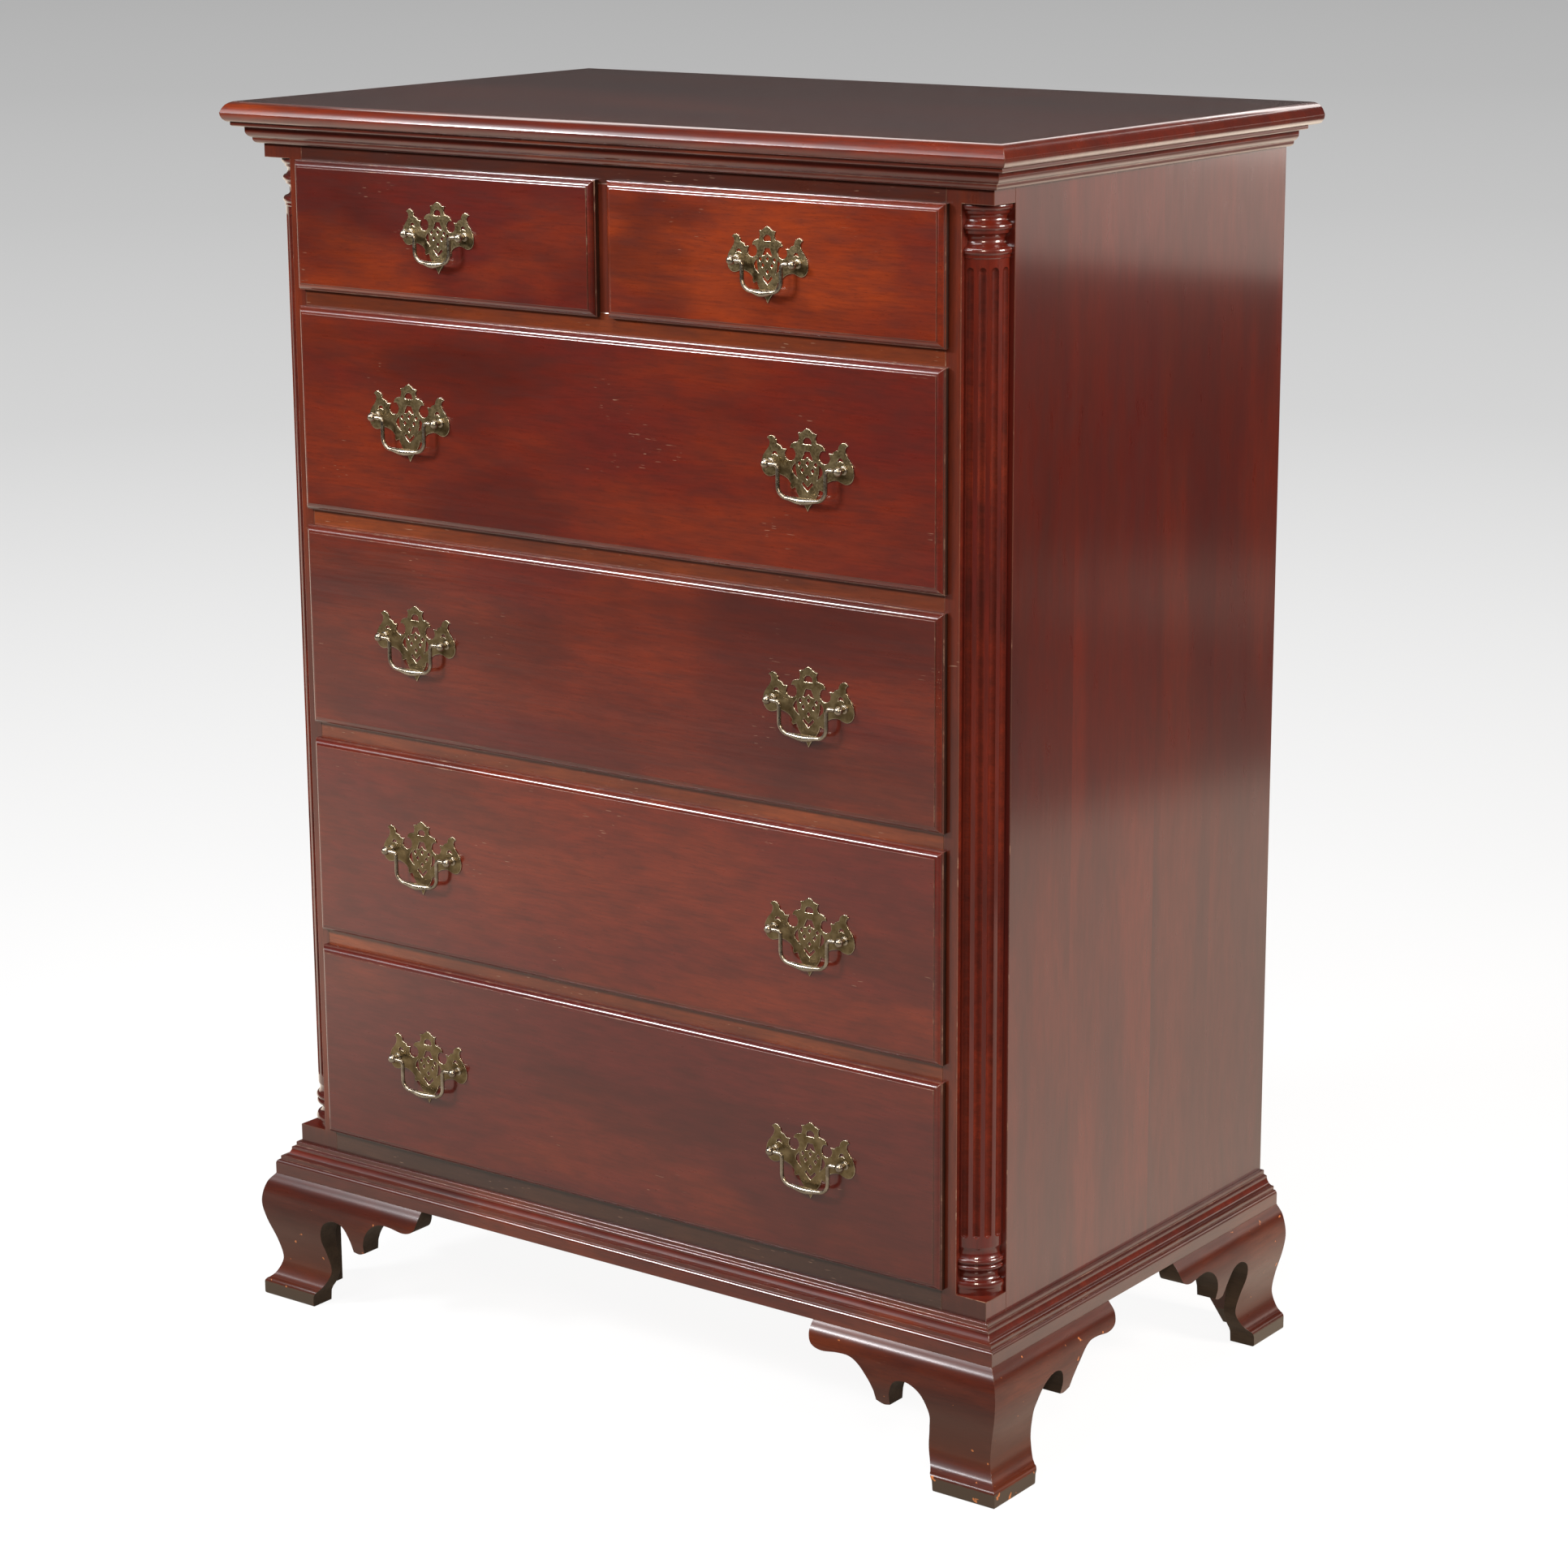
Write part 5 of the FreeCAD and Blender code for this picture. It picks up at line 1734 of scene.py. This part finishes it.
        # The stem flares into a collar with a rounded rim, and the shank goes on through the front.
        line.line((face - self.collar_t - 1.2, self.stem_r)).arc(
            (face - self.collar_t - 0.5, self.stem_r + 0.35), (face - self.collar_t, self.stem_r + 1.0), 4)
        line.line((face - self.collar_t, self.collar_r - 0.3)).arc(
            (face - self.collar_t + 0.12, self.collar_r - 0.08), (face - self.collar_t + 0.35, self.collar_r), 3)
        end = self.face_proud + self.front_inside + self.nut_t + 2 * self.collar_t
        line.line((face, self.collar_r), (face, self.shank_r))
        line.line((end - 0.5, self.shank_r), (end, self.shank_r - 0.5), (end, 0))
        piece = self.turned("post", spot, line)
        radius = (self.pin_r + self.pin_clear) * MM
        start = self.ball_r - self.pin_in_ball - self.pin_clear
        length = (self.ball_r + self.pin_in_ball) * MM
        take()
        bpy.ops.mesh.primitive_cylinder_add(
            vertices=self.bore_sides, radius=radius, depth=length, rotation=(0, math.pi / 2, 0),
            location=spot + Vector((inward * (start * MM + length / 2), ball * MM, 0)))
        piece = merged(piece, settled("pin_bore"), "DIFFERENCE")
        return smoothed(dressed(piece, Woods.handle.material()), 35)

    def nut(self, spot: Vector) -> Piece:
        """Saw the square nut that sits on a post's shank, inside the drawer's front.

        Args:
            spot: Where the post's axis meets the drawer's face.

        Returns:
            The nut.
        """
        half, inside = self.nut_side / 2 * MM, (self.face_proud + self.front_inside) * MM
        piece = block("nut", spot + Vector((-half, inside, -half)),
                      spot + Vector((half, inside + self.nut_t * MM, half)))
        take()
        bpy.ops.mesh.primitive_cylinder_add(
            vertices=self.bore_sides, radius=(self.shank_r + 0.1) * MM, depth=0.03, rotation=(math.pi / 2, 0, 0),
            location=spot + Vector((0, inside, 0)))
        piece = merged(piece, settled("nut_bore"), "DIFFERENCE")
        dressed(piece, Woods.nut.material(), Woods.nut.material())
        return eased(piece, 0.5)

    def bail(self, name: str, spot: Vector) -> Piece:
        """Bend the bail from tapered rod, with its pins in the posts.

        Args:
            name: The new piece's name.
            spot: The middle of the bail's axis, on the drawer's face.

        Returns:
            The bail.
        """
        bore, arm = self.pattern.bore / 2, self.pattern.bore / 2 - self.pattern.bail_in
        # The grip's upper edge is straight and its lower edge bellied.
        low = self.pattern.bail_drop - 2 * self.grip_r + self.wire_r
        pin_from = bore - self.ball_r - self.wire_to_ball
        pin_to = bore - self.ball_r + self.pin_in_ball
        wire, pin, grip = self.wire_r, self.pin_r, self.grip_r
        path: list[tuple[float, float, float]] = [(pin_to, 0, pin), (pin_from, 0, pin), (pin_from - 0.15, 0, wire)]
        for centre_x, centre_z, radius, first, last in (
                (arm + self.top_bend, -self.top_bend, self.top_bend, 90, 180),
                (arm - self.low_bend, self.low_bend - low, self.low_bend, 360, 270)):
            for step in range(self.bend_steps + 1):
                angle = math.radians(first + (last - first) * step / self.bend_steps)
                path.append((centre_x + radius * math.cos(angle), centre_z + radius * math.sin(angle), wire))
        inner = arm - self.low_bend
        for step in range(1, self.bend_steps + 1):
            share = step / self.bend_steps
            swell = (grip - wire) * math.sin(share * math.pi / 2) ** 1.3
            path.append((inner * (1 - share), -low - swell, wire + swell))
        whole = path + [(-x, z, radius) for x, z, radius in reversed(path[:-1])]
        rod = curve_stock(flat=False)
        curve = rod.data
        curve.bevel_depth = MM
        curve.bevel_resolution = 5
        curve.use_fill_caps = True
        curve.resolution_u = curve.render_resolution_u = 2
        line = curve.splines.new("POLY")
        line.points.add(len(whole) - 1)
        middle = spot + Vector((0, -(self.plate_t + self.ball_out) * MM, 0))
        for knot, (x, z, radius) in zip(line.points, whole):
            knot.co = (*(middle + Vector((x, 0, z)) * MM), 1)
            knot.radius = radius
        return smoothed(dressed(cast(name, rod, LOOSE_WELD), Woods.handle.material()), 45)


# ---------------------------------------------------------------- drawers
@dataclass
class Drawer:
    """A lipped drawer: moulded front, dovetailed box, bottom and pulls."""

    name: str
    seed: float
    clouds: tuple[Cloud, ...] = ()
    body: str = "#56190e"
    small: bool = False
    lip_edge: float = 6.0
    lip_gap: float = 0.3
    proud: float = 12.0
    fillet: float = 1.0
    mould_w: float = 7.3
    step: float = 1.1
    bulge: Pair = (0.3, 0.68)
    pull_x: float = 262.5
    pull_up: float = 2.0
    side_t: float = 11.5            # the box's side and a little more

    def wood(self) -> StainedMahogany:
        """The drawer front's own board: the case's mahogany, with this board's stain."""
        return StainedMahogany(f"mahogany_{self.name}_front", seed=self.seed, clouds=self.clouds, body=self.body,
                               warm="#7e2f10" if self.small else "#6b240e")

    def front(self) -> Piece:
        """Step the moulded edge in from the lip, and put the body behind it.

        Returns:
            The front.
        """
        low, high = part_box(self.name + "_front")
        x0, x1, z0, z1 = low.x / MM, high.x / MM, low.z / MM, high.z / MM
        piece = block("lip", at(x0, -self.lip_edge, z0), at(x1, -self.lip_gap, z1))
        shoulder = self.proud - self.step
        width = self.mould_w - self.fillet
        arc = Outline(self.fillet, self.lip_edge).arc(
            (self.fillet + self.bulge[0] * width, self.lip_edge + self.bulge[1] * (shoulder - self.lip_edge)),
            (self.mould_w, shoulder), 8).points
        with opened(piece):
            choose(piece, lambda spot, normal: normal.y < -FACING)
            bpy.ops.mesh.inset(thickness=self.fillet * MM, depth=0)
            for before, after in zip(arc, arc[1:]):
                bpy.ops.mesh.inset(thickness=(after[0] - before[0]) * MM, depth=(after[1] - before[1]) * MM)
            bpy.ops.mesh.extrude_region_move(TRANSFORM_OT_translate={"value": (0, -self.step * MM, 0)})
            bpy.ops.mesh.select_all(action="SELECT")
            bpy.ops.mesh.normals_make_consistent(inside=False)
        wood = self.wood()
        dressed(piece, wood.material(), wood.material(0.4), Woods.lip_side.material())
        # The lip's ends and underside take the painted shade.
        for face in piece.data.polygons:
            if abs(face.normal.x) > FACING or face.normal.z < -FACING:
                face.material_index = 2
        eased(piece, 0.3, limit=30)
        behind = node_copy(self.name + "_front", "behind")
        sawn(behind, at(0, 0.0, 0), Vector((0, -1, 0)))
        dressed(behind, wood.material(), wood.material(0.2))
        eased(behind, 0.0)
        piece = joined(self.name + "_moulded_front", [piece, behind])
        return finished(piece, self.name, "drawer_wood", self.name + "_front")

    def box(self) -> Piece:
        """Ease the dovetailed sides and back, each with its own grain.

        Returns:
            The box.
        """
        piece = node_copy(self.name + "_box", self.name + "_sides_and_back")
        dressed(piece, Woods.inside_length.material(), Woods.inside_width.material())
        low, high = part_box(self.name + "_box")
        thick = self.side_t * MM
        for face in piece.data.polygons:
            inner = low.x + thick < face.center.x < high.x - thick
            face.material_index = 1 if inner and face.center.y > high.y - thick else 0
        eased(piece, 0.3, worn=-1)
        return finished(piece, self.name, "inside_wood", self.name + "_box")

    def build(self) -> list[Piece]:
        """Make all the drawer's pieces.

        Returns:
            The front, the box, each pull's bail, the plates, and the posts with their nuts.
        """
        made = [self.front(), self.box()]
        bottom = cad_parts[self.name + "_bottom"]
        dressed(bottom, Woods.inside_width.material())
        pull = Pull(SMALL if self.small else LARGE)
        low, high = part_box(self.name + "_front")
        middle = (low.x + high.x) / 2 / MM
        height = (low.z + high.z) / 2 / MM + self.pull_up
        centres = [middle] if self.small else [-self.pull_x, self.pull_x]
        names = ["_bail"] if self.small else ["_left_bail", "_right_bail"]
        plates, posts = [], []
        for x, place in zip(centres, names):
            spot = at(x, -self.proud, height)
            plates.append(pull.plate(spot))
            for sign in (-1, 1):
                foot = spot + Vector((sign * pull.pattern.bore / 2 * MM, 0, 0))
                posts += [pull.post(foot, -sign), pull.nut(foot)]
            node = self.name + place
            made.append(finished(pull.bail(node + "_handle", spot), node, "brass", node))
        for ending, pieces, node in (("_plates", plates, "_pull_plates"), ("_posts_and_nuts", posts, "_pull_posts")):
            made.append(finished(joined(self.name + ending, pieces), self.name, "brass", self.name + node))
        return made


DRAWERS = (
    Drawer("bottom_drawer", 11.0, body="#521811", clouds=(
        Cloud(Tone.COOL, 120, 380, 330, 90, 0.8), Cloud(Tone.COOL, -280, 330, 170, 110, 0.6),
        Cloud(Tone.DARK, 300, 250, 190, 60, 0.3), Cloud(Tone.WARM, -60, 290, 180, 50, 0.3))),
    Drawer("third_drawer", 12.0, body="#5e1b0f", clouds=(
        Cloud(Tone.WARM, 60, 560, 330, 70, 0.6), Cloud(Tone.WARM, 250, 480, 190, 40, 0.7),
        Cloud(Tone.COOL, -330, 590, 120, 90, 0.6), Cloud(Tone.COOL, 330, 620, 130, 60, 0.7))),
    Drawer("second_drawer", 13.0, body="#501a10", clouds=(
        Cloud(Tone.WARM, -120, 790, 300, 70, 0.6), Cloud(Tone.DARK, -360, 860, 100, 50, 0.3),
        Cloud(Tone.DARK, 330, 730, 170, 60, 0.4), Cloud(Tone.DARK, 250, 880, 220, 40, 0.4),
        Cloud(Tone.COOL, -200, 715, 210, 36, 0.6))),
    Drawer("upper_drawer", 14.0, body="#5c1a0e", clouds=(
        Cloud(Tone.WARM, -340, 990, 130, 80, 0.8), Cloud(Tone.WARM, 130, 965, 270, 46, 0.9),
        Cloud(Tone.DARK, -190, 1105, 130, 36, 0.35), Cloud(Tone.COOL, 60, 1080, 200, 60, 0.5),
        Cloud(Tone.WARM, 340, 1000, 110, 60, 0.4))),
    Drawer("top_left_drawer", 15.0, body="#511710", small=True, clouds=(
        Cloud(Tone.DARK, -360, 1240, 130, 80, 0.4), Cloud(Tone.COOL, -190, 1250, 120, 60, 0.6),
        Cloud(Tone.WARM, -70, 1240, 90, 60, 0.3))),
    Drawer("top_right_drawer", 16.0, body="#68220d", small=True, clouds=(
        Cloud(Tone.WARM, 230, 1230, 190, 60, 1.0), Cloud(Tone.DARK, 70, 1282, 110, 22, 0.5),
        Cloud(Tone.DARK, 60, 1230, 70, 60, 0.5), Cloud(Tone.DARK, 250, 1196, 90, 14, 0.3),
        Cloud(Tone.COOL, 390, 1240, 50, 70, 0.3))),
)


# ---------------------------------------------------------------- studio
@dataclass(frozen=True)
class SoftBox:
    """A rectangular lamp, in metres and watts."""

    name: str
    spot: tuple[float, float, float]
    aim: tuple[float, float, float]
    size: Pair
    power: float
    colour: str

    def hang(self) -> None:
        """Put the lamp in its place, facing its aim."""
        light = bpy.data.lights.new(self.name, "AREA")
        light.shape = "RECTANGLE"
        light.size, light.size_y = self.size
        light.energy = self.power
        light.color = linear(self.colour)[:3]
        holder = added(self.name, light)
        holder.location = self.spot
        holder.rotation_euler = (Vector(self.aim) - Vector(self.spot)).to_track_quat("-Z", "Y").to_euler()


LAMPS = (
    SoftBox("key_left", (-2.6, -3.2, 3.0), (0, -0.3, 0.8), (0.95, 0.55), 188, "#fbfcff"),
    SoftBox("front_soft", (-0.6, -4.2, 3.5), (0, -0.3, 0.8), (1.4, 1.0), 70, "#fcfcff"),
    SoftBox("fill_right", (2.6, -3.3, 2.7), (0, -0.3, 0.8), (0.8, 0.8), 80, "#fff0de"),
    SoftBox("overhead", (0.2, -1.4, 3.5), (0, 0, 0.9), (1.8, 1.0), 60, "#ffffff"),
    SoftBox("side_right", (3.6, 0.4, 2.3), (0.3, 0, 0.8), (1.0, 1.2), 170, "#fff3ea"),
    # The wall behind, as the top and the side mirror it.
    SoftBox("back_wall", (-2.4, 3.1, 3.5), (0, 0, 1.36), (3.2, 1.3), 27, "#fffaf6"),
    SoftBox("back_high", (0.0, 3.0, 3.0), (0.5, 0, 1.3), (1.6, 0.5), 10, "#fff8f4"),
    SoftBox("wall_glow", (2.45, 2.8, 1.27), (2.45, 0, 1.27), (1.9, 0.86), 7.4, "#ffeee0"),
    SoftBox("wall_bright", (1.84, 2.79, 1.4), (1.84, 0, 1.4), (0.6, 0.7), 2.3, "#fff4ec"),
)


@dataclass
class Studio:
    """The pale floor, the soft lamps and the camera."""

    lens: float = 89.46
    sensor: float = 36.0
    azimuth: float = 36.509
    pitch: float = 14.277
    roll: float = -0.344
    camera_at: tuple[float, float, float] = (2.5076, -3.0879, 1.6879)     # y is from the case's front
    floor_size: float = 90.0
    floor_reach: float = 30.0
    floor_stops: tuple[tuple[float, str], ...] = (
        (0.0, "#f6f6f6"), (0.0367, "#f5f5f5"), (0.075, "#ededed"), (0.132, "#e4e4e4"), (0.227, "#d2d2d2"),
        (0.415, "#c3c3c3"), (0.653, "#b8b8b8"), (1.0, "#b1b1b1"))
    # Pools of light on the floor, as the wood mirrors them: middle, full radius, faded radius, strength.
    pools: tuple[tuple[Pair, float, float, float], ...] = (
        ((-0.5, -1.2), 0.9, 2.9, 0.45), ((2.6, 3.9), 0.0, 0.75, 0.36), ((0.5, 2.5), 0.55, 1.1, 1.4))
    # Glowing sheets on it, which stand for lit white paper: strength, then the edges as a, b, c and softness, inside
    # where a*x + b*y < c.
    sheets: tuple[tuple[float, tuple[tuple[float, float, float, float], ...]], ...] = (
        (0.82, ((0.949, 0.316, 2.44, 0.16), (0.0, -1.0, 0.15, 0.45))),
        (0.55, ((0.762, -0.648, 0.0, 0.28), (-0.7, -0.7, 4.9, 0.6), (0.7, 0.7, -1.3, 0.5))))
    shade: tuple[float, float, float] = (0.45, 0.9, 0.68)              # the chest's shade, painted into the floor's glow: from, to, light left
    bounce: str = "#ffefda"

    def pooled(self, tree: Tree, place: Socket) -> Socket:
        """Work out how bright the floor is, for what it lights and what mirrors it.

        Args:
            tree: The floor's nodes.
            place: Where the shaded point is.

        Returns:
            The brightness.
        """
        total: Socket | float = 0.0
        for light, edges in self.sheets:
            inside: Socket | float = light
            for a, b, c, soft in edges:
                beyond = add_node(tree, "VectorMath", {0: place, 1: (a, b, 0.0)}, operation="DOT_PRODUCT")
                within = add_node(tree, "MapRange", {
                    0: beyond.outputs["Value"], 1: c + soft, 2: c - soft}, interpolation_type="SMOOTHSTEP")
                lit = add_node(tree, "Math", {0: within.outputs[0], 1: inside}, operation="MULTIPLY")
                inside = lit.outputs[0]
            total = add_node(tree, "Math", {0: inside, 1: total}, operation="ADD").outputs[0]
        for middle, full, faded, strength in self.pools:
            away = add_node(tree, "VectorMath", {0: place, 1: (*middle, 0.0)}, operation="DISTANCE")
            pool = add_node(tree, "MapRange", {
                0: away.outputs["Value"], 1: faded, 2: full, 3: 0.0, 4: strength}, interpolation_type="SMOOTHSTEP")
            total = add_node(tree, "Math", {0: pool.outputs[0], 1: total}, operation="ADD").outputs[0]
        near, clear, left = self.shade
        away = add_node(tree, "VectorMath", {0: place}, operation="LENGTH")
        lit = add_node(tree, "MapRange", {
            0: away.outputs["Value"], 1: near, 2: clear, 3: left, 4: 1.0}, interpolation_type="SMOOTHSTEP")
        return add_node(tree, "Math", {0: lit.outputs[0], 1: total}, operation="MULTIPLY").outputs[0]

    def floor(self) -> None:
        """Lay a floor that is white near the chest and pale grey further off, and glows in pools and sheets for the
        rays that light and mirror.
        """
        take()
        bpy.ops.mesh.primitive_plane_add(size=self.floor_size)
        plane = settled("studio_floor")
        made, tree, shader = blank("floor_paper")
        tree.nodes.remove(shader)
        made.cycles.emission_sampling = "NONE"
        place = add_node(tree, "TexCoord").outputs["Object"]
        away = add_node(tree, "VectorMath", {0: place}, operation="LENGTH").outputs["Value"]
        share = add_node(tree, "Math", {0: away, 1: self.floor_reach}, operation="DIVIDE")
        tone = add_node(tree, "ValToRGB", {0: share.outputs[0]}, stops=self.floor_stops)
        rays = add_node(tree, "LightPath")
        seen = add_node(tree, "Math", {
            0: rays.outputs["Is Camera Ray"], 1: rays.outputs["Is Transmission Ray"]}, operation="ADD").outputs[0]
        look = add_node(tree, "Emission", {"Color": tone.outputs["Color"]})
        light = add_node(tree, "Emission", {
            "Color": linear(self.bounce), "Strength": self.pooled(tree, place)})
        glow = add_node(tree, "MixShader", {0: seen, 1: light.outputs[0], 2: look.outputs[0]})
        paper = add_node(tree, "BsdfDiffuse", {"Color": linear("#595959")})
        total = add_node(tree, "AddShader", {0: glow.outputs[0], 1: paper.outputs[0]})
        tree.links.new(total.outputs[0], tree.nodes["Material Output"].inputs["Surface"])
        dressed(plane, made)

    def world(self) -> None:
        """Fill the room with a dim, even light; the camera sees pale grey."""
        room = bpy.data.worlds.new("studio_room")
        bpy.context.scene.world = room
        room.use_nodes = True
        tree = room.node_tree
        rays = add_node(tree, "LightPath")
        seen = add_node(tree, "Mix", {
            0: rays.outputs["Is Camera Ray"], 6: linear("#3e3d3c"), 7: linear("#b4b4b4")}, data_type="RGBA")
        tree.links.new(seen.outputs[2], tree.nodes["Background"].inputs["Color"])
        tree.nodes["Background"].inputs["Strength"].default_value = 1.0

    def camera(self) -> None:
        """Set the camera up, by its turn, its dip and its tilt."""
        azimuth, pitch, roll = (math.radians(angle) for angle in (self.azimuth, self.pitch, self.roll))
        forward = Vector((-math.sin(azimuth) * math.cos(pitch), math.cos(azimuth) * math.cos(pitch),
                          -math.sin(pitch)))
        right = Vector((math.cos(azimuth), math.sin(azimuth), 0))
        up = right.cross(forward)
        right, up = (math.cos(roll) * right + math.sin(roll) * up, -math.sin(roll) * right + math.cos(roll) * up)
        eye = bpy.data.cameras.new("camera")
        eye.lens = self.lens
        eye.sensor_width = self.sensor
        eye.clip_end = 200.0
        holder = added("camera", eye)
        x, y, z = self.camera_at
        turn = Matrix((right, up, -forward)).transposed().to_4x4()
        holder.matrix_world = Matrix.Translation((x, FRONT_Y + y, z)) @ turn
        bpy.context.scene.camera = holder

    def build(self) -> None:
        """Set up the floor, the room, the lamps and the camera."""
        self.floor()
        self.world()
        for lamp in LAMPS:
            lamp.hang()
        self.camera()
        bpy.context.scene.view_settings.view_transform = "Standard"


def main() -> None:
    """Build the chest from the floor up, then the studio."""
    logging.basicConfig(level=logging.INFO, format="%(name)s: %(message)s")
    makers: list[Any] = [OgeeFoot(), base(), CaseFrame(), QuarterColumn(), cornice(), TopBoard(), *DRAWERS]
    for maker in makers:
        maker.build()
        LOG.info("%s done", getattr(maker, "name", type(maker).__name__))
    Studio().build()


if __name__ == "__main__":
    main()
